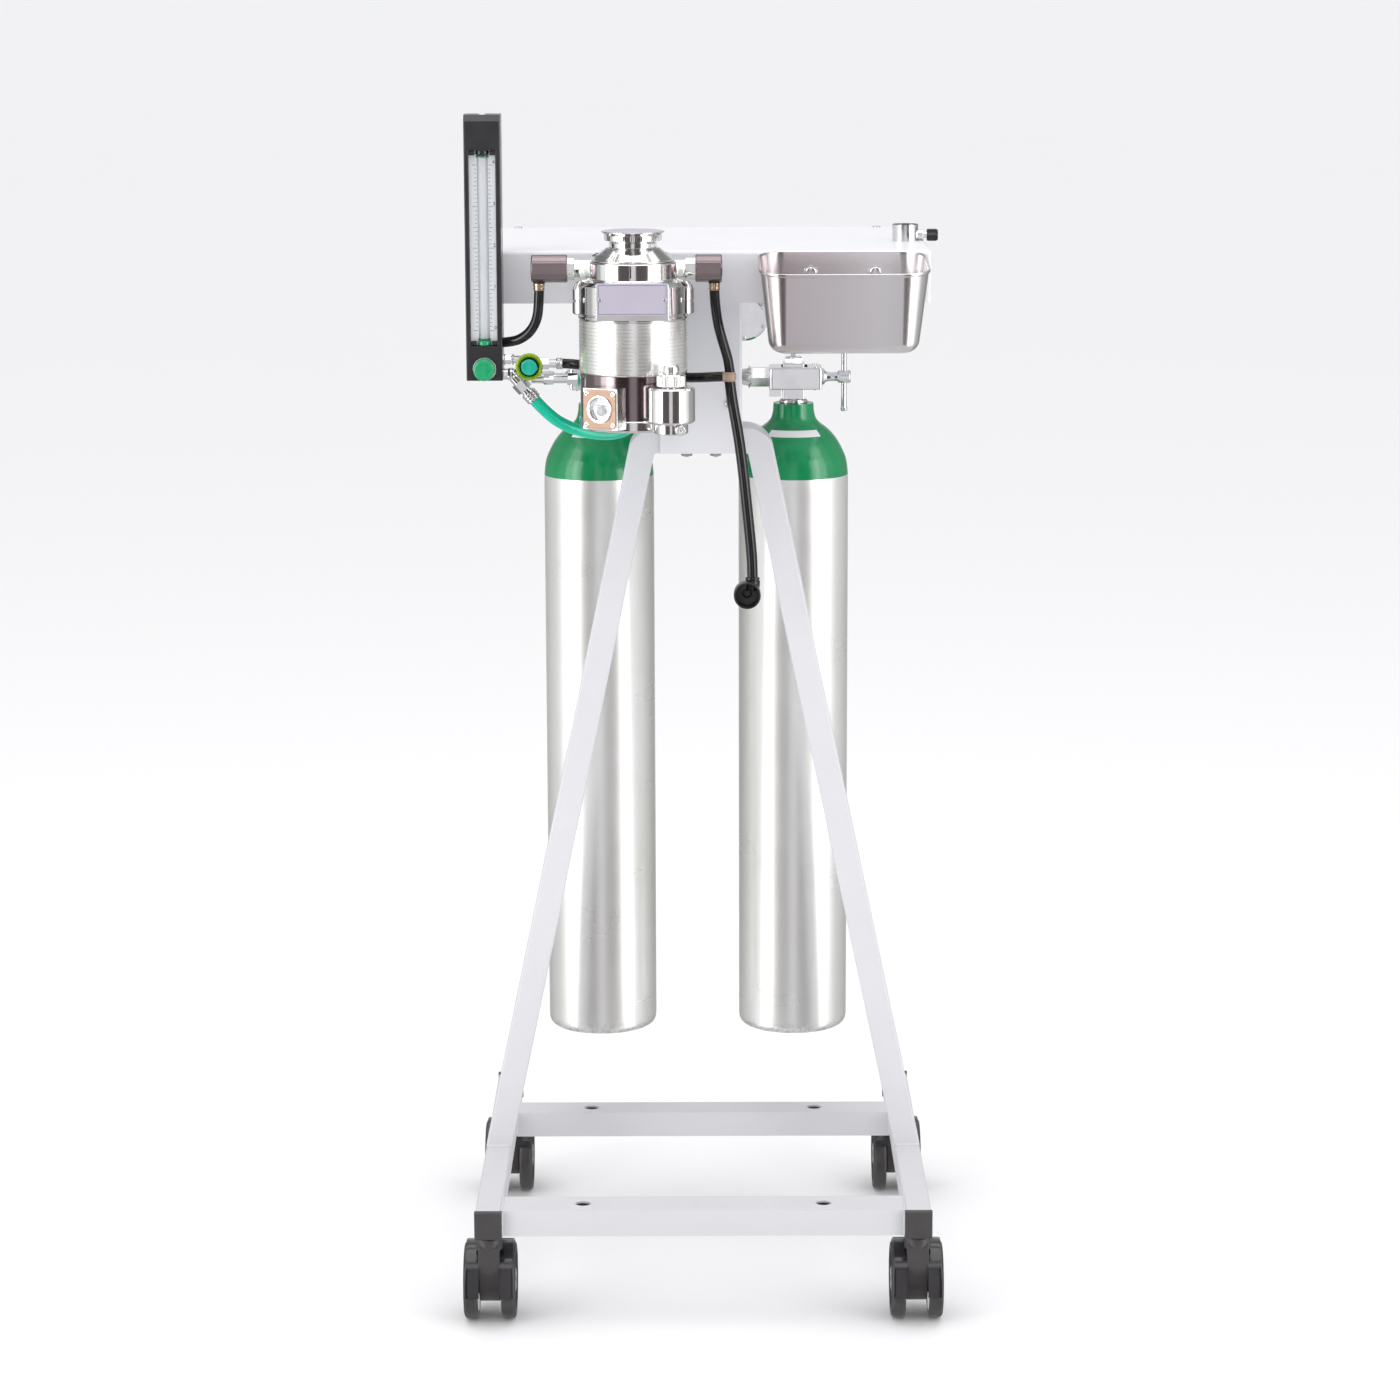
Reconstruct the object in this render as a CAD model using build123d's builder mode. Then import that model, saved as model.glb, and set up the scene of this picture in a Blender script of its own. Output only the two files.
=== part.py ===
from build123d import *

import math
import os

os.makedirs("parts", exist_ok=True)

# Anaesthesia machine on a mobile stand. Millimetres, +Z up, +Y to the rear, +X to the right.
# The origin is on the floor, at the middle of the stand.

# ---- Stand ----
TUBE = 25.4
WALL = 1.6
RAIL_X = 206.5
RAIL_TOP = 117.0
RAIL_BOTTOM = RAIL_TOP - TUBE
RAIL_MIDDLE = RAIL_TOP - TUBE / 2
BASE_DEPTH = 482.0
END_CAP = 6.0
CROSS_RAILS = {"front": (-210.0, 44.5), "rear": (109.5, 38.1)}  # middle y and width
CROSS_HOLE_X = 116.0
CROSS_HOLE_R = 7.25
FRAME_DEPTH = 2 * TUBE
FRAME_WALL = 2.0
BAR_TOP = 847.0
BAR_BOTTOM = BAR_TOP - TUBE
FOOT_OUT = RAIL_X + TUBE / 2
SHOULDER_OUT = 66.4
SHOULDER_RADIUS = 28.0
INNER_RADIUS = 3.0
LEAN = math.atan((FOOT_OUT - SHOULDER_OUT) / (BAR_TOP - RAIL_TOP))

# ---- Casters ----
WHEEL_R = 37.5
WHEEL_OUTSIDE = 25.0
WHEEL_INSIDE = 11.0
FORK_HALF = 10.5
STEM_Y = 221.0
TRAIL = 20.0
STEM_R = 5.0
FORK_TOP = 88.5
AXLE_R = 4.0
RUNNING = 0.05  # radial clearance of a running fit

# ---- Column and head ----
SHEET = 2.5
COLUMN_HALF_X = 40.0
COLUMN_HALF_Y = FRAME_DEPTH / 2 + SHEET
HEAD_BOTTOM = 974.0
HEAD_TOP = 1024.0
HEAD_HALF_X = 221.0
HEAD_FRONT = -87.0
HEAD_BACK = 228.0
HEAD_SCREWS = ((-187.0, 216.0), (181.0, 216.0))
HEAD_MIDDLE_Y = (HEAD_FRONT + HEAD_BACK) / 2
BOLT_X = 14.2

# ---- Vaporizer ----
VAP_X = -63.6
VAP_Y = -142.0
VAP_BOTTOM = 862.0
VAP_R = 51.3
COLLAR_R = 52.0
DIAL_SEAT = 1018.5
PORT_Y = -121.0
PORT_Z = 1010.0
ELBOW_R = 13.2
ELBOWS = {"left": (-160.0, -126.0), "right": (-5.0, 20.0)}
BARB_X = {"left": -152.8, "right": 12.9}
BARB_END = 990.0
SIGHT_ANGLE = 28.0
SIGHT_FACE = 65.5
SIGHT_Z = 885.5
FILLER_X = -28.0
FILLER_Y = -203.0

# ---- Flowmeter and flush valve ----
METER_X = -205.4
METER_WIDTH = 34.4
METER_RIGHT = METER_X + METER_WIDTH / 2
METER_FRONT = -122.0
METER_BOTTOM = 904.0
METER_TOP = 1154.0
WINDOW = (937.0, 1121.0)
TUBE_Y = -115.5
KNOB_Z = 915.0
FLUSH_X = -163.0
FLUSH_Z = 917.0
LINE_Y = -105.0  # the row of fittings beside the flowmeter

# ---- Tray ----
TRAY_X = 134.0
TRAY_SIZE = (158.0, 110.0, 79.5)
TRAY_LEAN = 6.8
TRAY_SCREW_X = (105.0, 166.5)
TRAY_SCREW_Z = 1003.0

# ---- Cylinders, yokes and regulator ----
CYL_X = 98.5
CYL_SHIFT = -5.0  # the pair of cylinders hangs this far off the middle
CYL_Y = 117.0
CYL_R = 55.6
CYL_BASE = 208.0
CYL_TOP = 855.0
YOKE_Z = 881.0
POST_HALF_X = 11.0
POST_HALF_Y = 12.5
REGULATOR = (43.0, 948.0)

# ---- Pole clamp ----
CLAMP_X = 201.0
CLAMP_Y = 33.4
CLAMP_BORE = 10.2
CLAMP_HEIGHT = 16.0
CLAMP_SCREW_Z = HEAD_TOP + 5.5

# ---- Hoses: the route of each, chosen by hand ----
HOSE_D = 9.5
LOWER_HOSE_D = 10.5
SUPPLY_D = 11.4
TEE = (27.5, -100.0, 905.0)
INLET_ROUTE = [
    (-152.8, -121, 990), (-153.3, -121, 976.5), (-155, -119.5, 962), (-161.5, -115.5, 950),
    (-171, -110.5, 942.5), (-180, -107, 939.6), (METER_RIGHT, -105.6, 938.8),
]
OUTLET_ROUTE = [
    (12.9, -121, 990), (13.4, -120.5, 976), (16.5, -117, 955), (22, -109, 935),
    (26.2, -102.5, 921), (27.5, -100, 909.5),
]
FLUSH_ROUTE = [
    (-138, -105, 918.5), (-127, -104.3, 918.4), (-113, -100.5, 916.5), (-91, -85.5, 911),
    (-65, -76, 906.5), (-37, -77, 903), (-14, -86, 902.5), (2, -96, 903.8),
    (12, -98.8, 904.6), (20.5, -100, 905),
]
FRESH_GAS_ROUTE = [
    (27.5, -100, 900.5), (29.3, -99.5, 884), (33, -98.5, 864), (37.8, -97, 835),
    (41.5, -95.5, 803), (45, -94, 768), (48, -93, 738), (49, -92.5, 722), (49.2, -92.2, 710),
]
SUPPLY_ROUTE = [
    (-159, -105, 884), (-147, -104.5, 870.5), (-131, -99, 858.5), (-109, -88, 849.5),
    (-86, -73.5, 846), (-69, -62, 850.5), (-58, -54.5, 862.5), (-52.5, -51, 880),
    (-50.4, -50, 900), (-50, -50, 929), (-50.2, -50.3, 956),
]


def finish(piece, name):
    """Label a finished piece and write it out."""
    piece.part.label = name
    export_step(piece.part, f"parts/{name}.step")


def across(direction):
    """A direction square to the given one, for the x axis of a plane."""
    direction = Vector(*direction)
    return Vector(1, 0, 0) if abs(direction.X) < 0.9 else Vector(0, 1, 0)


def facing(base, direction):
    """The plane at base that looks along direction."""
    side = across(direction)
    side = (side - Vector(*direction) * side.dot(Vector(*direction))).normalized()
    return Plane(base, x_dir=side, z_dir=direction)


def rod(base, direction, radius, length, mode=Mode.ADD, sides=0):
    """A round rod, or one with that many sides, measured over its corners."""
    with BuildSketch(facing(base, direction)) as section:
        if sides:
            RegularPolygon(radius, sides)
        else:
            Circle(radius)
    extrude(section.sketch, amount=length, mode=mode)


def block(low, high, mode=Mode.ADD):
    """A box between two opposite corners."""
    size = [b - a for a, b in zip(low, high)]
    with Locations(tuple((a + b) / 2 for a, b in zip(low, high))):
        Box(*size, mode=mode)


def turned(profile, base, direction=(0, 0, 1), mode=Mode.ADD):
    """A solid of revolution: profile is (radius, distance along direction from base)."""
    direction = Vector(*direction).normalized()
    side = facing(base, direction).x_dir
    with BuildSketch(Plane(base, x_dir=side, z_dir=side.cross(direction))) as section:
        with BuildLine():
            Polyline(*profile, close=True)
        make_face()
    revolve(section.sketch, axis=Axis(base, direction), mode=mode)


def screw(base, direction, head_r, head, shank_r, shank):
    """A pan-head screw whose head stands on base and whose shank goes the other way."""
    turned(
        [(0, -shank), (shank_r, -shank), (shank_r, 0), (head_r, 0), (head_r, head * 0.4),
         (head_r * 0.7, head), (0, head)],
        base,
        direction,
    )


def bend_radii(route):
    """The radius of the arc at each corner of a hose's route."""
    radii = []
    points = [Vector(*p) for p in route]
    for before, corner, after in zip(points, points[1:], points[2:]):
        run_in, run_out = corner - before, after - corner
        shorter = min(run_in.length, run_out.length)
        turn = math.radians(run_in.get_angle(run_out))
        radii.append(0.45 * shorter / math.tan(turn / 2))
    return radii


def hose(name, route, diameter):
    """A plain round hose along its route of straight runs and tangent arcs."""
    radii = bend_radii(route)
    with BuildPart() as tube:
        with BuildLine() as path:
            FilletPolyline(*route, radius=radii)
        with BuildSketch(Plane(route[0], z_dir=path.wire() % 0)):
            Circle(diameter / 2)
        sweep(path=path.wire())
    finish(tube, name)
    length = path.wire().length
    expected = math.pi * diameter**2 / 4 * length
    print(
        name, "length", round(length, 1), "volume", round(tube.part.volume / expected, 4),
        "radii in diameters", [round(r / diameter, 1) for r in radii],
    )


# ---------------------------------------------------------------- stand

rail_half = BASE_DEPTH / 2 - END_CAP
with BuildPart() as side_rails:
    for side in (-1, 1):
        with BuildSketch(facing((side * RAIL_X, rail_half, RAIL_MIDDLE), (0, -1, 0))):
            RectangleRounded(TUBE, TUBE, 2.5)
            Rectangle(TUBE - 2 * WALL, TUBE - 2 * WALL, mode=Mode.SUBTRACT)
        extrude(amount=2 * rail_half)
        for end in (-1, 1):
            rod((side * RAIL_X, end * STEM_Y, RAIL_BOTTOM - 1), (0, 0, 1), STEM_R + 0.2, 4, Mode.SUBTRACT)
finish(side_rails, "side_rails")

cross_half = RAIL_X - TUBE / 2
with BuildPart() as cross_rails:
    for middle, width in CROSS_RAILS.values():
        with BuildSketch(facing((-cross_half, middle, RAIL_MIDDLE), (1, 0, 0))):
            Rectangle(width, TUBE)
            Rectangle(width - 2 * WALL, TUBE - 2 * WALL, mode=Mode.SUBTRACT)
        extrude(amount=2 * cross_half)
        for side in (-1, 1):
            hole = (side * CROSS_HOLE_X, middle, RAIL_TOP + 1)
            rod(hole, (0, 0, -1), CROSS_HOLE_R, 4, Mode.SUBTRACT)
finish(cross_rails, "cross_rails")

with BuildPart() as rail_end_caps:
    for side in (-1, 1):
        for end in (-1, 1):
            with Locations((side * RAIL_X, end * (rail_half + END_CAP / 2), RAIL_MIDDLE)):
                Box(TUBE + 1, END_CAP, TUBE + 2)
            with Locations((side * RAIL_X, end * (rail_half - END_CAP / 2), RAIL_MIDDLE)):
                Box(TUBE - 2 * WALL - 0.2, END_CAP, TUBE - 2 * WALL - 0.2)
    fillet(rail_end_caps.edges().group_by(Axis.Y)[0], 1.2)
    fillet(rail_end_caps.edges().group_by(Axis.Y)[-1], 1.2)
finish(rail_end_caps, "rail_end_caps")


def leg_outside(z):
    return FOOT_OUT - (z - RAIL_TOP) * math.tan(LEAN)


def frame_outline(inset):
    """The bent tube's outline seen from the front, moved in from its faces by inset."""
    slip = inset / math.cos(LEAN)
    width = TUBE / math.cos(LEAN)
    top, under = BAR_TOP - inset, BAR_BOTTOM + inset
    right = [
        (leg_outside(RAIL_TOP) - slip, RAIL_TOP),
        (leg_outside(top) - slip, top),
    ]
    inner = [
        (leg_outside(under) - width + slip, under),
        (leg_outside(RAIL_TOP) - width + slip, RAIL_TOP),
    ]
    outside = right + [(-x, z) for x, z in reversed(right)]
    inside = [(-x, z) for x, z in reversed(inner)] + inner
    with BuildSketch(Plane.XZ) as outline:
        with BuildLine():
            Polyline(*outside, *inside, close=True)
        make_face()
        fillet(outline.vertices().group_by(Axis.Y)[-1], SHOULDER_RADIUS - inset)
        corners = [v for v in outline.vertices() if abs(v.Y - under) < 0.01]
        fillet(corners, INNER_RADIUS + inset)
    return outline.sketch


with BuildPart() as a_frame:
    extrude(frame_outline(0), amount=FRAME_DEPTH / 2, both=True)
    fillet(a_frame.edges().filter_by(lambda e: abs(e.center().Y) > FRAME_DEPTH / 2 - 0.01
                                     and e.length > TUBE + 2), 2.0)
    extrude(frame_outline(FRAME_WALL), amount=FRAME_DEPTH / 2 - FRAME_WALL, both=True, mode=Mode.SUBTRACT)
    for side in (-1, 1):
        rod((side * BOLT_X, 0, BAR_BOTTOM - 1), (0, 0, 1), 3.3, TUBE + 2, Mode.SUBTRACT)
finish(a_frame, "a_frame")

# ---------------------------------------------------------------- casters

with BuildPart() as caster_stems:
    for side in (-1, 1):
        for end in (-1, 1):
            turned(
                [(0, 62), (STEM_R, 62), (STEM_R, 89), (11, 89), (11, RAIL_BOTTOM),
                 (STEM_R, RAIL_BOTTOM), (STEM_R, 110), (0, 110)],
                (side * RAIL_X, end * STEM_Y, 0),
            )
finish(caster_stems, "caster_stems")

tyre = [
    (AXLE_R - 0.5, WHEEL_INSIDE), (WHEEL_R - 3, WHEEL_INSIDE), (WHEEL_R - 0.8, WHEEL_INSIDE + 1.2),
    (WHEEL_R, WHEEL_INSIDE + 3.5), (WHEEL_R, WHEEL_OUTSIDE - 4.5), (WHEEL_R - 1, WHEEL_OUTSIDE - 1.6),
    (WHEEL_R - 3.5, WHEEL_OUTSIDE), (28, WHEEL_OUTSIDE), (26.5, WHEEL_OUTSIDE - 1.5),
    (12, WHEEL_OUTSIDE - 2), (11, WHEEL_OUTSIDE - 0.5), (AXLE_R - 0.5, WHEEL_OUTSIDE - 0.5),
]
for corner, side, end in (("front_left", -1, -1), ("front_right", 1, -1),
                          ("rear_left", -1, 1), ("rear_right", 1, 1)):
    stem = (side * RAIL_X, end * STEM_Y)
    hub = (side * RAIL_X, end * (STEM_Y - TRAIL), WHEEL_R)

    with BuildPart() as fork:
        with BuildSketch(Plane((stem[0], 0, 0), x_dir=(0, 1, 0), z_dir=(1, 0, 0))):
            with Locations((hub[1], WHEEL_R)):
                Circle(21)
            with Locations((stem[1], 72)):
                Circle(12.5)
            make_hull()
        extrude(amount=FORK_HALF, both=True)
        fillet(fork.edges().filter_by(lambda e: abs(abs(e.center().X - stem[0]) - FORK_HALF) < 0.01), 1.5)
        rod((*stem, 56), (0, 0, 1), FORK_HALF, FORK_TOP - 56)
        rod((*stem, FORK_TOP - 12), (0, 0, 1), 13, 12)
        rod((*stem, 60), (0, 0, 1), STEM_R + RUNNING, 40, Mode.SUBTRACT)
        rod((hub[0] - 20, hub[1], hub[2]), (1, 0, 0), AXLE_R + RUNNING, 40, Mode.SUBTRACT)
    finish(fork, f"caster_fork_{corner}")

    with BuildPart() as wheels:
        turned(tyre, hub, (1, 0, 0))
        turned(tyre, hub, (-1, 0, 0))
        rod((hub[0] - WHEEL_OUTSIDE + 1, hub[1], hub[2]), (1, 0, 0), AXLE_R, 2 * WHEEL_OUTSIDE - 2)
    finish(wheels, f"caster_wheels_{corner}")

# ---------------------------------------------------------------- column and head

with BuildPart() as column:
    with BuildSketch(Plane.XY.offset(BAR_TOP)):
        RectangleRounded(2 * COLUMN_HALF_X, 2 * COLUMN_HALF_Y, 3)
        Rectangle(2 * (COLUMN_HALF_X - SHEET), FRAME_DEPTH, mode=Mode.SUBTRACT)
    extrude(amount=HEAD_BOTTOM - BAR_TOP)
    for low, high in ((BAR_TOP, BAR_TOP + SHEET), (HEAD_BOTTOM - SHEET, HEAD_BOTTOM)):
        block((3 - COLUMN_HALF_X, -COLUMN_HALF_Y + 1, low), (COLUMN_HALF_X - 3, COLUMN_HALF_Y - 1, high))
    for face in (-1, 1):
        low, high = sorted((face * FRAME_DEPTH / 2, face * COLUMN_HALF_Y))
        block((-COLUMN_HALF_X, low, BAR_BOTTOM), (COLUMN_HALF_X, high, BAR_TOP))
        for side in (-1, 1):
            rod((side * 28, face * (COLUMN_HALF_Y + 1), 871), (0, -face, 0), 2.2, 5, Mode.SUBTRACT)
    for side in (-1, 1):
        rod((side * BOLT_X, 0, BAR_TOP - 1), (0, 0, 1), 3.3, 5, Mode.SUBTRACT)
finish(column, "column")

with BuildPart() as frame_bolts:
    for side in (-1, 1):
        place = (side * BOLT_X, 0)
        rod((*place, BAR_BOTTOM), (0, 0, -1), 5.6, 5.5, sides=6)
        rod((*place, BAR_BOTTOM - 1), (0, 0, 1), 3, TUBE + 12)
        rod((*place, BAR_TOP + SHEET), (0, 0, 1), 5.6, 5, sides=6)
finish(frame_bolts, "frame_bolts")

with BuildPart() as head_cover:
    with BuildSketch(Plane((0, HEAD_MIDDLE_Y, HEAD_BOTTOM))):
        RectangleRounded(2 * HEAD_HALF_X, HEAD_BACK - HEAD_FRONT, 5)
    extrude(amount=HEAD_TOP - HEAD_BOTTOM)
    fillet(head_cover.faces().sort_by(Axis.Z)[-1].edges(), 4)
    with BuildSketch(Plane((0, HEAD_MIDDLE_Y, HEAD_BOTTOM))):
        Rectangle(2 * HEAD_HALF_X - 4, HEAD_BACK - HEAD_FRONT - 4)
    extrude(amount=HEAD_TOP - HEAD_BOTTOM - 2, mode=Mode.SUBTRACT)
    for x in TRAY_SCREW_X:
        rod((x, HEAD_FRONT - 1, TRAY_SCREW_Z), (0, 1, 0), 2.6, 4, Mode.SUBTRACT)
    for place in HEAD_SCREWS:
        rod((*place, HEAD_TOP + 1), (0, 0, -1), 2.2, 4, Mode.SUBTRACT)
finish(head_cover, "head_cover")

with BuildPart() as head_base_plate:
    with BuildSketch(Plane((0, HEAD_MIDDLE_Y, HEAD_BOTTOM))):
        Rectangle(2 * HEAD_HALF_X - 4.6, HEAD_BACK - HEAD_FRONT - 4.6)
    extrude(amount=SHEET)
finish(head_base_plate, "head_base_plate")

# ---------------------------------------------------------------- vaporizer

with BuildPart() as vaporizer_bracket:
    with BuildSketch(Plane((VAP_X, VAP_Y, 978))):
        with Locations((0, HEAD_FRONT - VAP_Y - 7)):
            Rectangle(56, 14)
        Circle(COLLAR_R + RUNNING, mode=Mode.SUBTRACT)
    extrude(amount=20)
finish(vaporizer_bracket, "vaporizer_bracket")

with BuildPart() as vaporizer_body:
    turned(
        [(0, VAP_BOTTOM), (VAP_R - 2, VAP_BOTTOM), (VAP_R, VAP_BOTTOM + 2), (VAP_R, 872),
         (VAP_R - 1, 873), (VAP_R - 1, 915), (VAP_R, 916), (VAP_R, 964.5), (COLLAR_R, 966),
         (COLLAR_R, 997), (COLLAR_R - 4, 1001), (41.3, 1001), (41.3, DIAL_SEAT), (8 + RUNNING, DIAL_SEAT),
         (8 + RUNNING, 1004), (0, 1004)],
        (VAP_X, VAP_Y, 0),
    )
    block((VAP_X - 34, VAP_Y - 53.5, 967), (VAP_X + 34, VAP_Y - 33, 1001))
    for side in (-1, 1):
        turned([(0, 969), (8, 969), (9, 970), (9, 993), (4, 1000), (0, 1000)],
               (VAP_X + side * 48, VAP_Y, 0))
    rod((-124, PORT_Y, PORT_Z), (1, 0, 0), 9.4, 34, sides=6)
    rod((-126, PORT_Y, PORT_Z), (1, 0, 0), 10.9, 7)
    rod((-36, PORT_Y, PORT_Z), (1, 0, 0), 9.4, 29, sides=6)
    rod((-14.7, PORT_Y, PORT_Z), (1, 0, 0), 10.9, 9.7)
finish(vaporizer_body, "vaporizer_body")

with BuildPart() as vaporizer_dial:
    turned(
        [(0, 1004.5), (8, 1004.5), (8, DIAL_SEAT + 0.4), (39.5, DIAL_SEAT + 0.4), (39.5, 1020),
         (25, 1031.5), (22.4, 1031.8), (22.4, 1036.2), (21.4, 1036.6), (21.4, 1037.8), (27, 1038.2),
         (27.4, 1043.5), (29.8, 1045.6), (29.8, 1046.6), (28.4, 1047.2), (0, 1047.2)],
        (VAP_X, VAP_Y, 0),
    )
finish(vaporizer_dial, "vaporizer_dial")

with BuildPart() as vaporizer_plate:
    block((VAP_X - 33, VAP_Y - 55, 972), (VAP_X + 33, VAP_Y - 53.5, 1002))
    fillet(vaporizer_plate.edges().filter_by(Axis.Y), 2)
    for side in (-1, 1):
        turned([(0, 0), (1.9, 0), (1.4, 0.8), (0, 1)], (VAP_X + side * 30, VAP_Y - 55, 987), (0, -1, 0))
finish(vaporizer_plate, "vaporizer_plate")

outward = (-math.sin(math.radians(SIGHT_ANGLE)), -math.cos(math.radians(SIGHT_ANGLE)), 0)


def on_sight_axis(reach, z=SIGHT_Z):
    """The point at that reach from the vaporizer's axis, towards the sight glass."""
    return (VAP_X + reach * outward[0], VAP_Y + reach * outward[1], z)


with BuildPart() as sight_glass_housing:
    with BuildSketch(facing(on_sight_axis(40), outward)):
        Rectangle(36.5, 39)
    extrude(amount=SIGHT_FACE - 40)
    fillet(sight_glass_housing.faces().sort_by(Axis(on_sight_axis(0), outward))[-1].edges(), 1)
    turned([(0, 0), (13.2, 0), (13.2, 0.8), (12.4, 1.2), (0, 1.2)], on_sight_axis(SIGHT_FACE), outward)
    rod(on_sight_axis(SIGHT_FACE - 6), outward, 11.5, 10, Mode.SUBTRACT)
    rod((VAP_X, VAP_Y, 850), (0, 0, 1), VAP_R + 0.1, 80, Mode.SUBTRACT)
    with Locations(Plane(on_sight_axis(SIGHT_FACE), x_dir=(outward[1], -outward[0], 0), z_dir=outward)):
        with GridLocations(28, 29, 2, 2):
            Cylinder(1.5, 12, mode=Mode.SUBTRACT)
finish(sight_glass_housing, "sight_glass_housing")

with BuildPart() as sight_glass_lens:
    rod(on_sight_axis(SIGHT_FACE - 6), outward, 11.45, 5)
finish(sight_glass_lens, "sight_glass_lens")

with BuildPart() as filler_block:
    turned(
        [(0, 863), (15, 863), (16, 864), (16, 872.5), (21, 873.6), (22.5, 875), (22.5, 905), (21.5, 906.6),
         (6 + RUNNING, 906.6), (6 + RUNNING, 896), (0, 896)],
        (FILLER_X, FILLER_Y, 0),
    )
    rod((VAP_X, VAP_Y, 850), (0, 0, 1), VAP_R + 0.1, 80, Mode.SUBTRACT)
    rod((FILLER_X + 9, FILLER_Y - 20, 868), (0, 1, 0), 2.5 + RUNNING, 18, Mode.SUBTRACT)
finish(filler_block, "filler_block")

with BuildPart() as filler_cap:
    turned(
        [(0, 896.5), (6, 896.5), (6, 907), (13.2, 907), (14, 907.8), (14, 917.5), (12.5, 919),
         (7.5, 919.5), (7.5, 926), (6.5, 927), (0, 927)],
        (FILLER_X, FILLER_Y, 0),
    )
finish(filler_cap, "filler_cap")

with BuildPart() as drain_screw:
    turned([(0, -11), (2.5, -11), (2.5, 1.5), (4.3, 1.5), (4.8, 2), (4.8, 7), (4.2, 7.6), (0, 7.6)],
           (FILLER_X + 9, FILLER_Y - 14, 868), (0, -1, 0))
finish(drain_screw, "drain_screw")

with BuildPart() as port_elbows:
    for side, (start, stop) in ELBOWS.items():
        turned([(0, 0), (ELBOW_R - 0.8, 0), (ELBOW_R, 0.8), (ELBOW_R, stop - start - 0.8),
                (ELBOW_R - 0.8, stop - start), (0, stop - start)], (start, PORT_Y, PORT_Z), (1, 0, 0))
        rod((BARB_X[side], PORT_Y, 994), (0, 0, 1), 4.5, 11, Mode.SUBTRACT)
finish(port_elbows, "port_elbows")

with BuildPart() as hose_barbs:
    for x in BARB_X.values():
        turned([(0, BARB_END), (5.2, BARB_END), (5.2, 996.5), (4.45, 996.5), (4.45, 1004), (0, 1004)],
               (x, PORT_Y, 0))
finish(hose_barbs, "hose_barbs")

# ---------------------------------------------------------------- flowmeter

half_width = METER_WIDTH / 2
with BuildPart() as flowmeter_housing:
    block((METER_X - half_width, METER_FRONT, METER_BOTTOM), (METER_RIGHT, HEAD_FRONT, METER_TOP))
    chamfer(flowmeter_housing.faces().sort_by(Axis.Z)[-1].edges().sort_by(Axis.Y)[0], 6)
    fillet(flowmeter_housing.edges().filter_by(Axis.Z), 1.5)
    block((METER_X - 13, METER_FRONT - 1, WINDOW[0]), (METER_X + 13, -104, WINDOW[1]), Mode.SUBTRACT)
    rod((METER_X, METER_FRONT - 1, KNOB_Z), (0, 1, 0), 3 + RUNNING, 13, Mode.SUBTRACT)
    rod((METER_X, -106, METER_TOP + 1), (0, 0, -1), 3, 12, Mode.SUBTRACT)
finish(flowmeter_housing, "flowmeter_housing")

with BuildPart() as flow_scale_plate:
    block((METER_X - 12.8, TUBE_Y, WINDOW[0] + 0.2), (METER_X + 12.8, -104.05, WINDOW[1] - 0.2))
    rod((METER_X, TUBE_Y, WINDOW[0]), (0, 0, 1), 5.2, 200, Mode.SUBTRACT)
finish(flow_scale_plate, "flow_scale_plate")

with BuildPart() as flow_tube:
    rod((METER_X, TUBE_Y, WINDOW[0] + 0.2), (0, 0, 1), 5, WINDOW[1] - WINDOW[0] - 0.4)
    rod((METER_X, TUBE_Y, WINDOW[0] + 5), (0, 0, 1), 3.6, 200, Mode.SUBTRACT)
finish(flow_tube, "flow_tube")

with BuildPart() as flow_float:
    with Locations((METER_X, TUBE_Y, WINDOW[0] + 8.6)):
        Sphere(3.4)
finish(flow_float, "flow_float")

with BuildPart() as flow_knob:
    turned([(0, -10), (3, -10), (3, 0.4), (9.6, 0.4), (10.3, 1.1), (10.3, 10.5), (9, 12), (0, 12)],
           (METER_X, METER_FRONT, KNOB_Z), (0, -1, 0))
finish(flow_knob, "flow_knob")

# ---------------------------------------------------------------- flush valve and supply

flush = (FLUSH_X, -119.0, FLUSH_Z)
METER_TO_BARREL = FLUSH_X - METER_RIGHT - 8
with BuildPart() as flush_valve_body:
    turned([(0, 0), (9, 0), (10, 1), (10, 29), (0, 29)], (FLUSH_X, -90, FLUSH_Z), (0, -1, 0))
    rod(flush, (0, 1, 0), 9.4, 2.2, Mode.SUBTRACT)
    rod(flush, (0, 1, 0), 3 + RUNNING, 21, Mode.SUBTRACT)
    rod((METER_RIGHT, LINE_Y, 922.5), (1, 0, 0), 3.6, METER_TO_BARREL)
    rod((METER_RIGHT, LINE_Y, 922.5), (1, 0, 0), 4.8, 7, sides=6)
    rod((FLUSH_X + 9, LINE_Y, 918.5), (1, 0, 0), 6.2, 9, sides=6)
    rod((FLUSH_X + 17, LINE_Y, 918.5), (1, 0, 0), 4, 8)
    rod((FLUSH_X + 5, -96, 903), (0, 0, 1), 4, 8)
    rod((FLUSH_X + 1, -96, 903), (1, 0, 0), 4.4, 44)
    rod((FLUSH_X + 13, -96, 903), (1, 0, 0), 6.2, 9, sides=6)
    rod((FLUSH_X + 36, -96, 903), (1, 0, 0), 6.4, 9, sides=6)
finish(flush_valve_body, "flush_valve_body")

with BuildPart() as flush_bezel:
    turned([(9.4, 0), (12, 0), (12.8, 0.8), (12.8, 4.2), (12, 5), (9.4, 5)], flush, (0, -1, 0))
finish(flush_bezel, "flush_bezel")

with BuildPart() as flush_button:
    turned([(0, -15), (3, -15), (3, 2.3), (7.2, 2.3), (7.6, 2.7), (7.6, 7), (7, 7.6), (0, 7.6)],
           flush, (0, -1, 0))
finish(flush_button, "flush_button")

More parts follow.
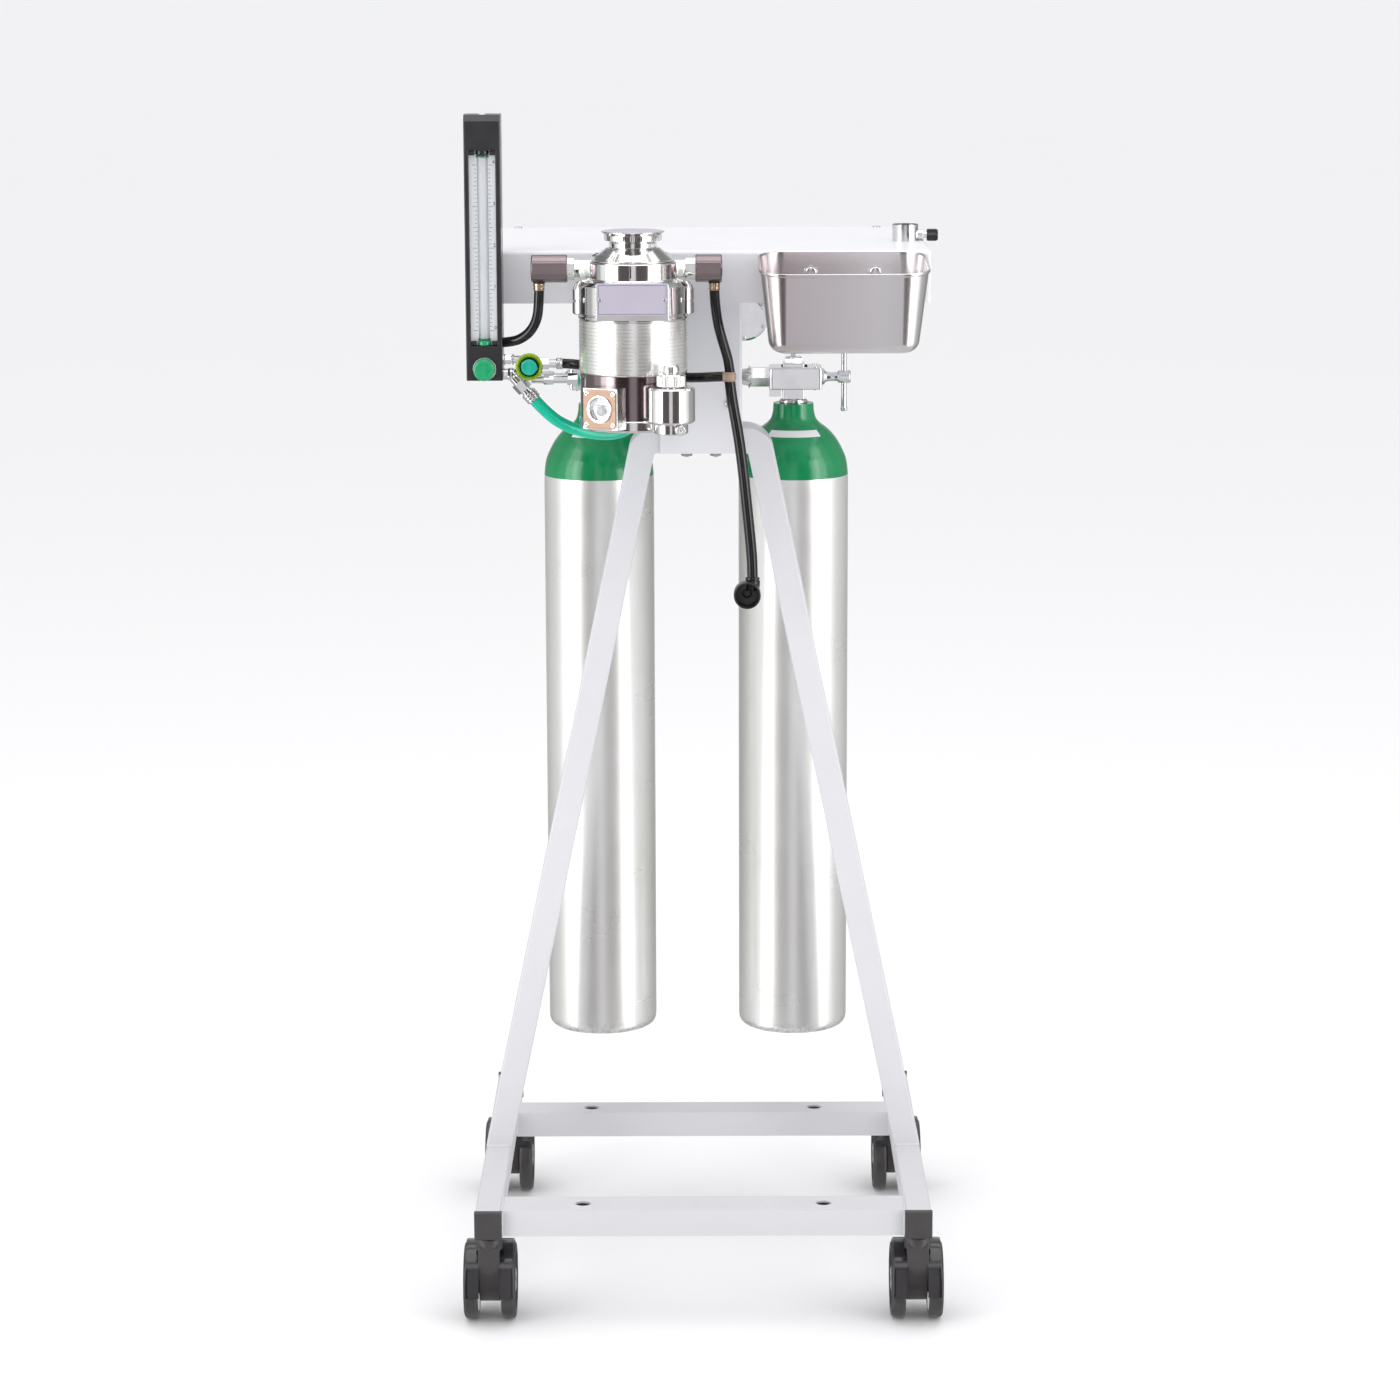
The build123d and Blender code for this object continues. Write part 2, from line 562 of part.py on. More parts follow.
hose_start = Vector(*SUPPLY_ROUTE[0])
slant = (Vector(*SUPPLY_ROUTE[1]) - hose_start).normalized()
with BuildPart() as supply_fittings:
    elbow = hose_start - slant * 33
    rod((METER_RIGHT, elbow.Y, elbow.Z), (1, 0, 0), 5.4, elbow.X - METER_RIGHT)
    with Locations(tuple(elbow)):
        Sphere(6.2)
    rod(tuple(elbow), tuple(slant), 5.2, 30)
    rod(tuple(hose_start - slant * 23), tuple(slant), 7.8, 10, sides=6)
    rod(tuple(hose_start - slant * 10), tuple(slant), 6.9, 10)
    rod(SUPPLY_ROUTE[-1], (0, 0, 1), 6.9, 9)
    rod((*SUPPLY_ROUTE[-1][:2], SUPPLY_ROUTE[-1][2] + 8), (0, 0, 1), 8.2, HEAD_BOTTOM - 964, sides=6)
finish(supply_fittings, "supply_fittings")

# ---------------------------------------------------------------- tray

TRAY_WALL = 1.2
tray_back = HEAD_FRONT - 2.0
tray_plane = Plane((TRAY_X, tray_back, 1023.6)).rotated((TRAY_LEAN, 0, 0))
shrink = 2 * TRAY_SIZE[2] * math.tan(math.radians(TRAY_LEAN))


def pan(inset):
    """The pan's filled shape, drawn inset inside its outer faces and open upwards past its rim."""
    depth = TRAY_SIZE[2] - inset
    with BuildPart() as shape:
        with BuildSketch(tray_plane.offset(-depth)):
            with Locations((0, -TRAY_SIZE[1] / 2)):
                RectangleRounded(TRAY_SIZE[0] - shrink - 2 * inset, TRAY_SIZE[1] - shrink - 2 * inset, 16 - inset)
        extrude(amount=depth + inset, taper=-TRAY_LEAN)
        fillet(shape.faces().sort_by(Axis.Z)[0].edges(), 11 - inset)
    return shape.part


tray_filled, tray_hollow = pan(0), pan(TRAY_WALL)
with BuildPart() as tray:
    add(tray_filled)
    with BuildSketch(tray_plane.offset(-3)):
        with Locations((0, -TRAY_SIZE[1] / 2)):
            RectangleRounded(TRAY_SIZE[0] + 2.4, TRAY_SIZE[1] + 2.4, 25)
    extrude(amount=3)
    add(tray_hollow, mode=Mode.SUBTRACT)
    for x in TRAY_SCREW_X:
        rod((x, tray_back + 1, TRAY_SCREW_Z), (0, -1, 0), 2.6, 5, Mode.SUBTRACT)
finish(tray, "tray")

# ---------------------------------------------------------------- screws

with BuildPart() as panel_screws:
    for side in (-1, 1):
        for face in (-1, 1):
            screw((side * 28, face * COLUMN_HALF_Y, 871), (0, face, 0), 5, 2.8, 2, 5)
    for place in HEAD_SCREWS:
        screw((*place, HEAD_TOP), (0, 0, 1), 4, 1.2, 2, 8)
    for x in TRAY_SCREW_X:
        screw((x, tray_back - 1.5, TRAY_SCREW_Z), (0, -1, 0), 5.5, 2.6, 2.4, 12)
    for level in (-14.5, 14.5):
        for shift in (-14, 14):
            seat = Vector(*on_sight_axis(SIGHT_FACE, SIGHT_Z + level))
            seat += Vector(-outward[1], outward[0], 0) * shift
            screw(tuple(seat), outward, 2.7, 1.4, 1.4, 5)
finish(panel_screws, "panel_screws")

# ---------------------------------------------------------------- cylinders, valves and yokes

with BuildPart() as oxygen_cylinders:
    for side in (-1, 1):
        with BuildSketch(Plane((CYL_SHIFT + side * CYL_X, CYL_Y, 0), x_dir=(1, 0, 0), z_dir=(0, -1, 0))) as shell:
            with BuildLine():
                Polyline((0, CYL_BASE), (CYL_R - 9, CYL_BASE))
                Line((CYL_R, CYL_BASE + 9), (CYL_R, 768))
                RadiusArc((CYL_R - 9, CYL_BASE), (CYL_R, CYL_BASE + 9), -9)
                Spline((CYL_R, 768), (48.5, 809), (37, 827), (26, 835.5), (20.6, 846),
                       tangents=[(0, 1), (-0.05, 1)])
                Polyline((20.6, 846), (20, CYL_TOP), (0, CYL_TOP), (0, CYL_BASE))
            make_face()
        revolve(axis=Axis((CYL_SHIFT + side * CYL_X, CYL_Y, 0), (0, 0, 1)))
        turned(
            [(0, 216), (42, 216), (49, 223), (49, 768), (42, 805), (16, 829), (10, 836), (10, 860), (0, 860)],
            (CYL_SHIFT + side * CYL_X, CYL_Y, 0),
            mode=Mode.SUBTRACT,
        )
finish(oxygen_cylinders, "oxygen_cylinders")

with BuildPart() as cylinder_valves:
    for side in (-1, 1):
        place = (CYL_SHIFT + side * CYL_X, CYL_Y)
        turned([(0, 838), (9.9, 838), (9.9, CYL_TOP), (17, CYL_TOP), (17, 859), (0, 859)], (*place, 0))
        block((place[0] - POST_HALF_X, CYL_Y - POST_HALF_Y, 858.5),
              (place[0] + POST_HALF_X, CYL_Y + POST_HALF_Y, 896))
        turned([(0, 895), (9.2, 895), (9.2, 900), (8.4, 901), (0, 901)], (*place, 0))
        rod((*place, 886), (0, 0, 1), 4 + RUNNING, 20, Mode.SUBTRACT)
finish(cylinder_valves, "cylinder_valves")

with BuildPart() as yokes:
    for side in (-1, 1):
        inner, outer = sorted((CYL_SHIFT + side * 74, CYL_SHIFT + side * 127))
        block((inner, CYL_Y - 20, YOKE_Z - 11), (outer, CYL_Y + 20, YOKE_Z + 11))
    fillet(yokes.edges().filter_by(Axis.Z), 3)
    fillet(yokes.edges().filter_by(Axis.X), 1.5)
    for side in (-1, 1):
        inner, outer = sorted((CYL_SHIFT + side * 86.2, CYL_SHIFT + side * 112.5))
        block((inner, CYL_Y - 13.5, 860), (outer, CYL_Y + 13.5, 900), Mode.SUBTRACT)
        inner, outer = sorted((CYL_SHIFT + side * 74, CYL_SHIFT + side * 85.5))
        block((inner, CYL_Y - 11, YOKE_Z - 19), (outer, CYL_Y + 11, YOKE_Z - 10))
        rod((CYL_SHIFT + side * 110, CYL_Y, YOKE_Z), (side, 0, 0), 5 + RUNNING, 20, Mode.SUBTRACT)
finish(yokes, "yokes")

with BuildPart() as yoke_seals:
    for side in (-1, 1):
        turned([(3, 0), (8, 0), (8, 1.3), (3, 1.3)], (CYL_SHIFT + side * 86.2, CYL_Y, YOKE_Z), (side, 0, 0))
finish(yoke_seals, "yoke_seals")

for name, side, bar in (("left", -1, (0, 1, 0)), ("right", 1, (0, 0, 1))):
    with BuildPart() as yoke_screw:
        turned(
            [(0, 0), (3, 0), (5, 2.5), (5, 18), (6.6, 18), (6.6, 20), (5, 22), (4.6, 33), (6.5, 34),
             (6.5, 45.5), (5, 46.5), (0, 46.5)],
            (CYL_SHIFT + side * 109.8, CYL_Y, YOKE_Z),
            (side, 0, 0),
        )
        middle = Vector(CYL_SHIFT + side * 149.5, CYL_Y, YOKE_Z)
        turned([(0, -35), (2.6, -35), (3.3, -34), (3.3, 34), (2.6, 35), (0, 35)], tuple(middle), bar)
    finish(yoke_screw, f"yoke_screw_{name}")

    with BuildPart() as valve_stem:
        rod((CYL_SHIFT + side * CYL_X, CYL_Y, 887), (0, 0, 1), 4, 14.4)
        with Locations((CYL_SHIFT + side * CYL_X, CYL_Y, 904)):
            Box(5.4, 5.4, 5.4)
    finish(valve_stem, f"valve_stem_{name}")

with BuildPart() as manifold:
    block((CYL_SHIFT - 34, 84, 866), (34, 134, 896))
    fillet(manifold.edges().filter_by(Axis.Z), 3)
    block((-20, COLUMN_HALF_Y, 876), (20, 90, 888))
    for side in (-1, 1):
        turned([(0, 0), (7, 0), (7, 9), (9.6, 22), (9.6, 23), (0, 23)], (CYL_SHIFT + side * 33, CYL_Y, YOKE_Z), (side, 0, 0))
        rod((CYL_SHIFT + side * 55, CYL_Y, YOKE_Z), (side, 0, 0), 10.8, 19, sides=6)
finish(manifold, "manifold")

with BuildPart() as regulator:
    centre = (REGULATOR[0], 0, REGULATOR[1])
    turned([(0, 44), (16, 44), (16, 42.5), (19, 42.5), (19, 60), (0, 60)], centre, (0, 1, 0))
    turned([(0, 60), (23, 60), (25, 62), (25, 92), (23, 94), (0, 94)], centre, (0, 1, 0))
    rod((30, 90, 896), (0, 0, 1), 6, 36)
    rod((30, 90, 896), (0, 0, 1), 8.6, 8, sides=6)
finish(regulator, "regulator")

with BuildPart() as gauge_case:
    turned(
        [(0, 94), (5, 94), (5, 100), (21, 100), (22, 101), (22, 118), (19.5, 118), (19.5, 114),
         (1 + RUNNING, 114), (1 + RUNNING, 108), (0, 108)],
        (REGULATOR[0], 0, REGULATOR[1]),
        (0, 1, 0),
    )
finish(gauge_case, "gauge_case")

with BuildPart() as gauge_pointer:
    rod((REGULATOR[0], 109, REGULATOR[1]), (0, 1, 0), 1, 7)
    rod((REGULATOR[0], 115, REGULATOR[1]), (0, 1, 0), 2.6, 1.2)
    with BuildSketch(Plane((REGULATOR[0], 115, REGULATOR[1]), x_dir=(1, 0, 1), z_dir=(0, 1, 0))):
        with BuildLine():
            Polyline((-1.1, -6), (1.1, -6), (0.35, 15), (-0.35, 15), close=True)
        make_face()
    extrude(amount=0.8)
finish(gauge_pointer, "gauge_pointer")

# ---------------------------------------------------------------- pole clamp

with BuildPart() as pole_clamp:
    rod((CLAMP_X, CLAMP_Y, HEAD_TOP), (0, 0, 1), CLAMP_BORE + 2.4, CLAMP_HEIGHT)
    rod((CLAMP_X, CLAMP_Y, CLAMP_SCREW_Z), (1, 0, 0), 5, 16)
    rod((CLAMP_X, CLAMP_Y, HEAD_TOP), (0, 0, 1), CLAMP_BORE, CLAMP_HEIGHT, Mode.SUBTRACT)
    rod((CLAMP_X, CLAMP_Y, CLAMP_SCREW_Z), (1, 0, 0), 3 + RUNNING, 20, Mode.SUBTRACT)
finish(pole_clamp, "pole_clamp")

with BuildPart() as clamp_screw:
    rod((CLAMP_X + 10.7, CLAMP_Y, CLAMP_SCREW_Z), (1, 0, 0), 3, 14)
    with BuildSketch(facing((CLAMP_X + 21, CLAMP_Y, CLAMP_SCREW_Z), (1, 0, 0))):
        Circle(5)
        with PolarLocations(4.6, 6):
            Circle(2)
    extrude(amount=11)
finish(clamp_screw, "clamp_screw")

# ---------------------------------------------------------------- hoses

hose("vaporizer_inlet_hose", INLET_ROUTE, HOSE_D)
hose("vaporizer_outlet_hose", OUTLET_ROUTE, HOSE_D)
hose("flush_hose", FLUSH_ROUTE, HOSE_D)
hose("fresh_gas_hose", FRESH_GAS_ROUTE, LOWER_HOSE_D)
hose("oxygen_supply_hose", SUPPLY_ROUTE, SUPPLY_D)

with BuildPart() as hose_tee:
    turned([(0, -4.5), (5.6, -4.5), (6.2, -3.8), (6.2, 3.8), (5.6, 4.5), (0, 4.5)], TEE)
    rod(TEE, (-1, 0, 0), 5, TEE[0] - FLUSH_ROUTE[-1][0])
finish(hose_tee, "hose_tee")

mouth = (44, -112, 694.5)
MOUTH_R = 11.0
with BuildPart() as fresh_gas_connector:
    turned([(0, 0), (11.6, 0), (13, 1.4), (13, 17), (11.2, 18), (11.2, 26), (10, 28), (0, 28)], mouth, (0, 1, 0))
    rod((*FRESH_GAS_ROUTE[-1][:2], 697), (0, 0, 1), 7.4, 13)
    rod(mouth, (0, 1, 0), MOUTH_R, 16, Mode.SUBTRACT)
finish(fresh_gas_connector, "fresh_gas_connector")
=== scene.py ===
import math

import bmesh
import bpy
from mathutils import Matrix, Vector, noise


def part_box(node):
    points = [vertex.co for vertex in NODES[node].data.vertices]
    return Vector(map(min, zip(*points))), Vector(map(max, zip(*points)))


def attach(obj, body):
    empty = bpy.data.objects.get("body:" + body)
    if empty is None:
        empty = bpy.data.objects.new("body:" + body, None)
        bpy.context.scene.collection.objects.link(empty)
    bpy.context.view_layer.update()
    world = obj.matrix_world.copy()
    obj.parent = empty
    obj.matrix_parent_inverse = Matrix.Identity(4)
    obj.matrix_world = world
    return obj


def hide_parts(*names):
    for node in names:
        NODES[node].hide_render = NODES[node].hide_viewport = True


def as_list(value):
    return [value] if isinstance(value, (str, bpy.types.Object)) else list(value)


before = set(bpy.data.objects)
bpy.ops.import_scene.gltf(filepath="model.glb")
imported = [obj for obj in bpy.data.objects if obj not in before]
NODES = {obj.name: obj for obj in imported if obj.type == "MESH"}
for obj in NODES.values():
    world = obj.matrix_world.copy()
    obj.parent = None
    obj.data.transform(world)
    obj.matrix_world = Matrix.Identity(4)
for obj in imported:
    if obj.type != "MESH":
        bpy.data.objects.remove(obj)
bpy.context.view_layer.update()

# Anaesthesia machine on a mobile stand. Measures here are in millimetres, in the CAD's own frame.
MM = 0.001
FRONT = (0, -1, 0)
BACK = (0, 1, 0)
UP = (0, 0, 1)
DOWN = (0, 0, -1)
RIGHT = (1, 0, 0)
LEFT = (-1, 0, 0)
CORNERS = {
    "front_left": (-1, -1), "front_right": (1, -1), "rear_left": (-1, 1), "rear_right": (1, 1),
}


def box_mm(node):
    """A CAD node's lowest and highest corners in millimetres."""
    low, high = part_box(node)
    return low / MM, high / MM


def middle_mm(node):
    low, high = box_mm(node)
    return (low + high) / 2


# ---------------------------------------------------------------- camera and hoses

camera_data = bpy.data.cameras.new("camera")
camera_data.sensor_width = 36
camera_data.lens = 101.57
camera_data.clip_end = 400
camera = bpy.data.objects.new("camera", camera_data)
camera.location = (-0.0018, -3.862, 1.315)
camera_turn = Matrix.Rotation(math.radians(79.1), 3, "X") @ Matrix.Rotation(math.radians(-0.16), 3, "Z")
camera.rotation_euler = camera_turn.to_euler()
bpy.context.scene.collection.objects.link(camera)
bpy.context.scene.camera = camera

# The same routes as the CAD hoses follow, listed with each hose's diameter and real length.
HOSES = {
    "vaporizer_inlet_hose": (9.5, 73.5, "black_hose", [
        (-152.8, -121, 990), (-153.3, -121, 976.5), (-155, -119.5, 962), (-161.5, -115.5, 950),
        (-171, -110.5, 942.5), (-180, -107, 939.6), (-188.2, -105.6, 938.8),
    ]),
    "vaporizer_outlet_hose": (9.5, 85.4, "black_hose", [
        (12.9, -121, 990), (13.4, -120.5, 976), (16.5, -117, 955), (22, -109, 935),
        (26.2, -102.5, 921), (27.5, -100, 909.5),
    ]),
    "flush_hose": (9.5, 170.8, "black_hose", [
        (-138, -105, 918.5), (-127, -104.3, 918.4), (-113, -100.5, 916.5), (-91, -85.5, 911),
        (-65, -76, 906.5), (-37, -77, 903), (-14, -86, 902.5), (2, -96, 903.8),
        (12, -98.8, 904.6), (20.5, -100, 905),
    ]),
    "fresh_gas_hose": (10.5, 192.0, "black_hose", [
        (27.5, -100, 900.5), (29.3, -99.5, 884), (33, -98.5, 864), (37.8, -97, 835),
        (41.5, -95.5, 803), (45, -94, 768), (48, -93, 738), (49, -92.5, 722), (49.2, -92.2, 710),
    ]),
    "oxygen_supply_hose": (11.4, 224.8, "green_hose", [
        (-159, -105, 884), (-147, -104.5, 870.5), (-131, -99, 858.5), (-109, -88, 849.5),
        (-86, -73.5, 846), (-69, -62, 850.5), (-58, -54.5, 862.5), (-52.5, -51, 880),
        (-50.4, -50, 900), (-50, -50, 929), (-50.2, -50.3, 956),
    ]),
}
TEE = (27.5, -100, 905)


def hose_curve(name, route, diameter):
    """A round hose on one smooth spline whose control points are the route's."""
    curve = bpy.data.curves.new(name, "CURVE")
    curve.dimensions = "3D"
    curve.bevel_depth = diameter / 2 * MM
    curve.bevel_resolution = 10
    curve.resolution_u = 24
    curve.use_fill_caps = True
    spline = curve.splines.new("NURBS")
    spline.points.add(len(route) - 1)
    for point, place in zip(spline.points, route):
        point.co = (place[0] * MM, place[1] * MM, place[2] * MM, 1)
    spline.order_u = 3
    spline.use_endpoint_u = True
    obj = bpy.data.objects.new(name, curve)
    bpy.context.scene.collection.objects.link(obj)
    return obj


hoses = {}
for hose_name, (diameter, length, slot_name, route) in HOSES.items():
    hoses[hose_name] = hose_curve("hose_" + hose_name, route, diameter)


# ---------------------------------------------------------------- materials

class Surface:
    """A node material built around one Principled shader."""

    def __init__(self, name, **sockets):
        self.material = bpy.data.materials.new(name)
        self.material.use_nodes = True
        self.tree = self.material.node_tree
        self.shader = self.tree.nodes["Principled BSDF"]
        self.coordinates = self.tree.nodes.new("ShaderNodeTexCoord").outputs["Object"]
        self.normal = None
        for socket, value in sockets.items():
            self.socket(socket).default_value = value

    def socket(self, name):
        return self.shader.inputs[name.replace("_", " ").title().replace("Ior", "IOR")]

    def link(self, source, target):
        self.tree.links.new(source, target)

    def stretched(self, scale):
        """Object coordinates multiplied by scale along x, y and z."""
        mapping = self.tree.nodes.new("ShaderNodeMapping")
        mapping.inputs["Scale"].default_value = scale
        self.link(self.coordinates, mapping.inputs["Vector"])
        return mapping.outputs["Vector"]

    def noise(self, scale, detail=3.0, distortion=0.0):
        """Noise from 0 to 1, with scale in cells per metre along x, y and z."""
        if not hasattr(scale, "__len__"):
            scale = (scale, scale, scale)
        node = self.tree.nodes.new("ShaderNodeTexNoise")
        node.inputs["Scale"].default_value = 1.0
        node.inputs["Detail"].default_value = detail
        node.inputs["Distortion"].default_value = distortion
        self.link(self.stretched(scale), node.inputs["Vector"])
        return node.outputs["Fac"]

    def axis(self, name):
        split = self.tree.nodes.new("ShaderNodeSeparateXYZ")
        self.link(self.coordinates, split.inputs["Vector"])
        return split.outputs[name]

    def math(self, operation, first, second=0.0, clamp=False):
        node = self.tree.nodes.new("ShaderNodeMath")
        node.operation = operation
        node.use_clamp = clamp
        for index, value in enumerate((first, second)):
            if isinstance(value, (int, float)):
                node.inputs[index].default_value = value
            else:
                self.link(value, node.inputs[index])
        return node.outputs["Value"]

    def band(self, value, low, high, to_low=0.0, to_high=1.0):
        """value moved from the range low..high to to_low..to_high, and kept inside it."""
        node = self.tree.nodes.new("ShaderNodeMapRange")
        for socket, number in zip(("From Min", "From Max", "To Min", "To Max"), (low, high, to_low, to_high)):
            node.inputs[socket].default_value = number
        self.link(value, node.inputs["Value"])
        return node.outputs["Result"]

    def blend(self, factor, first, second):
        """A colour between first and second."""
        node = self.tree.nodes.new("ShaderNodeMix")
        node.data_type = "RGBA"
        self.link(factor, node.inputs["Factor"])
        for socket, value in zip((node.inputs[6], node.inputs[7]), (first, second)):
            if isinstance(value, tuple):
                socket.default_value = (*value, 1.0)
            else:
                self.link(value, socket)
        return node.outputs[2]

    def colour(self, source):
        self.link(source, self.shader.inputs["Base Color"])

    def rough(self, source):
        self.link(source, self.shader.inputs["Roughness"])

    def bump(self, height, distance, strength=1.0):
        """Adds a bump of that depth in millimetres."""
        node = self.tree.nodes.new("ShaderNodeBump")
        node.inputs["Strength"].default_value = strength
        node.inputs["Distance"].default_value = distance * MM
        self.link(height, node.inputs["Height"])
        if self.normal is not None:
            self.link(self.normal, node.inputs["Normal"])
        self.normal = node.outputs["Normal"]
        self.link(self.normal, self.shader.inputs["Normal"])

    def turned_tangent(self, axis="Z"):
        tangent = self.tree.nodes.new("ShaderNodeTangent")
        tangent.direction_type = "RADIAL"
        tangent.axis = axis
        self.link(tangent.outputs["Tangent"], self.shader.inputs["Tangent"])


def mottled(name, dark, light, rough_low, rough_high, grain, grain_depth, patch=25.0, **sockets):
    """A plain finish with slight patches of colour and gloss, and a fine grain."""
    surface = Surface(name, **sockets)
    patches = surface.noise(patch, detail=4.0)
    surface.colour(surface.blend(surface.band(patches, 0.3, 0.7), dark, light))
    surface.rough(surface.band(surface.noise(patch * 3, detail=5.0), 0.3, 0.7, rough_low, rough_high))
    surface.bump(surface.noise(grain, detail=2.0), grain_depth)
    return surface


def powder_coat(name, dark, light, low_tone):
    surface = Surface(name, specular_ior_level=0.45, coat_weight=0.12, coat_roughness=0.25)
    patches = surface.band(surface.noise(9.0, detail=4.0), 0.3, 0.7)
    paint = surface.blend(patches, dark, light)
    # The paint turns darker towards the floor, from 0.19 m down to 0.09 m.
    height = surface.axis("Z")
    near_floor = surface.band(height, 0.19, 0.09)
    surface.colour(surface.blend(near_floor, paint, low_tone))
    surface.rough(surface.band(surface.noise(60.0, detail=5.0), 0.3, 0.7, 0.3, 0.42))
    surface.bump(surface.noise(650.0, detail=2.0), 0.06)
    surface.bump(surface.noise(90.0, detail=1.0), 0.05)
    return surface


def turned_metal(name, colour, rough_low, rough_high, line_depth, aniso, lines=2600.0, patch=30.0,
                 smudge=0.05):
    """Metal turned in a lathe about the piece's own upright axis: very fine rings, and a few smudges."""
    surface = Surface(name, metallic=1.0, anisotropic=aniso)
    rings = surface.noise((6.0, 6.0, lines), detail=4.0)
    smudges = surface.band(surface.noise(patch, detail=6.0), 0.42, 0.72)
    darker = tuple(c * (1 - 2.5 * smudge) for c in colour)
    tone = surface.blend(smudges, colour, darker)
    surface.colour(surface.blend(surface.band(rings, 0.35, 0.65, 0.0, 0.35), tone, darker))
    gloss = surface.band(rings, 0.3, 0.7, rough_low, rough_high)
    surface.rough(surface.math("ADD", gloss, surface.math("MULTIPLY", smudges, smudge)))
    surface.bump(rings, line_depth)
    surface.turned_tangent()
    return surface


def cylinder_aluminium():
    """Brushed aluminium with handling scratches and a scuffed foot."""
    surface = Surface("cylinder_aluminium", metallic=0.66, anisotropic=0.3)
    polish = surface.noise((9.0, 9.0, 26.0), detail=3.0)
    patches = surface.noise((7.0, 7.0, 3.5), detail=4.0)
    clean = surface.blend(surface.band(patches, 0.35, 0.65), (0.80, 0.80, 0.775), (0.86, 0.86, 0.845))
    foot = surface.band(surface.axis("Z"), 0.222, 0.210)
    low_tone = surface.math("MULTIPLY", foot, surface.band(surface.noise(240.0, detail=4.0), 0.45, 0.6))
    surface.colour(surface.blend(surface.math("MULTIPLY", low_tone, 0.6), clean, (0.36, 0.36, 0.35)))
    surface.rough(surface.band(polish, 0.3, 0.7, 0.27, 0.31))
    surface.turned_tangent()
    return surface


def shoulder_paint():
    surface = Surface("shoulder_paint", coat_weight=0.25, coat_roughness=0.08, specular_ior_level=0.45)
    patches = surface.band(surface.noise(30.0, detail=4.0), 0.3, 0.7)
    paint = surface.blend(patches, (0.002, 0.23, 0.075), (0.004, 0.28, 0.098))
    chips = surface.band(surface.noise(420.0, detail=3.0), 0.77, 0.79)
    surface.colour(surface.blend(surface.math("MULTIPLY", chips, 0.7), paint, (0.35, 0.5, 0.4)))
    surface.rough(surface.band(surface.noise(70.0, detail=5.0), 0.3, 0.7, 0.13, 0.24))
    surface.bump(surface.noise(260.0, detail=2.0), 0.05)
    return surface


def chrome_plate(name, colour, rough_low, rough_high, wave=0.012):
    surface = Surface(name, metallic=1.0)
    smudges = surface.band(surface.noise(55.0, detail=6.0), 0.4, 0.75)
    surface.colour(surface.blend(smudges, colour, tuple(c * 0.9 for c in colour)))
    surface.rough(surface.band(surface.noise(140.0, detail=5.0), 0.35, 0.7, rough_low, rough_high))
    surface.bump(surface.noise(120.0, detail=2.0), wave)
    return surface


def brushed_stainless():
    """Sheet brushed along x, with the slight waviness of a deep-drawn pan, and a painted reflection: dark
    mauve on the left of the tray turning bright towards the right.
    """
    surface = Surface("brushed_stainless", metallic=1.0)
    grain = surface.noise((10.0, 2400.0, 2400.0), detail=3.0)
    waves = surface.noise(9.0, detail=0.0)
    # Painted reflection: the base colour runs from dark mauve at x 0.06 m to bright at x 0.165 m, standing in
    # for the room reflected in the tray.
    tint = surface.blend(surface.band(surface.axis("X"), 0.06, 0.165), (0.62, 0.56, 0.57), (0.86, 0.84, 0.85))
    surface.colour(surface.blend(surface.band(grain, 0.35, 0.65, 0.0, 0.04), tint, (0.55, 0.53, 0.53)))
    surface.rough(surface.band(waves, 0.1, 0.9, 0.2, 0.27))
    surface.bump(waves, 0.1)
    return surface


def label_foil():
    """A silver foil label printed with plain grey rules, and no lettering."""
    surface = Surface("label_foil", metallic=0.75)
    height = surface.axis("Z")
    rows = surface.math("FRACT", surface.math("MULTIPLY", height, 1 / 0.00345))
    rule = surface.math("GREATER_THAN", rows, 0.83)
    words = surface.band(surface.noise((210.0, 210.0, 0.01), detail=3.0), 0.44, 0.47)
    blocks = surface.band(surface.noise((24.0, 24.0, 0.01), detail=1.0), 0.42, 0.46)
    inside = surface.math("MULTIPLY", surface.band(height, 0.9195, 0.9200),
                          surface.band(height, 0.9625, 0.9620))
    printed = surface.math("MULTIPLY", surface.math("MULTIPLY", rule, words), blocks)
    printed = surface.math("MULTIPLY", surface.math("MULTIPLY", printed, inside), 0.3)
    foil = surface.blend(surface.band(surface.noise(40.0, detail=4.0), 0.3, 0.7), (0.80, 0.80, 0.77),
                         (0.88, 0.88, 0.86))
    surface.colour(surface.blend(printed, foil, (0.16, 0.16, 0.17)))
    surface.rough(surface.band(surface.noise(36.0, detail=3.0), 0.3, 0.7, 0.22, 0.3))
    surface.bump(surface.noise(300.0, detail=2.0), 0.02)
    return surface


def clear_material(name, tint, rough, ior=1.47):
    surface = Surface(name, transmission_weight=1.0, ior=ior, roughness=rough)
    surface.colour(surface.blend(surface.noise(50.0), tint, tuple(min(1.0, c * 1.04) for c in tint)))
    surface.bump(surface.noise(60.0, detail=1.0), 0.01)
    return surface


def anodised(name, dark, light):
    surface = Surface(name, metallic=0.9)
    rings = surface.noise(600.0, detail=3.0)
    surface.colour(surface.blend(surface.band(rings, 0.35, 0.65), dark, light))
    surface.rough(surface.band(surface.noise(150.0, detail=4.0), 0.3, 0.7, 0.2, 0.32))
    surface.bump(rings, 0.02)
    return surface


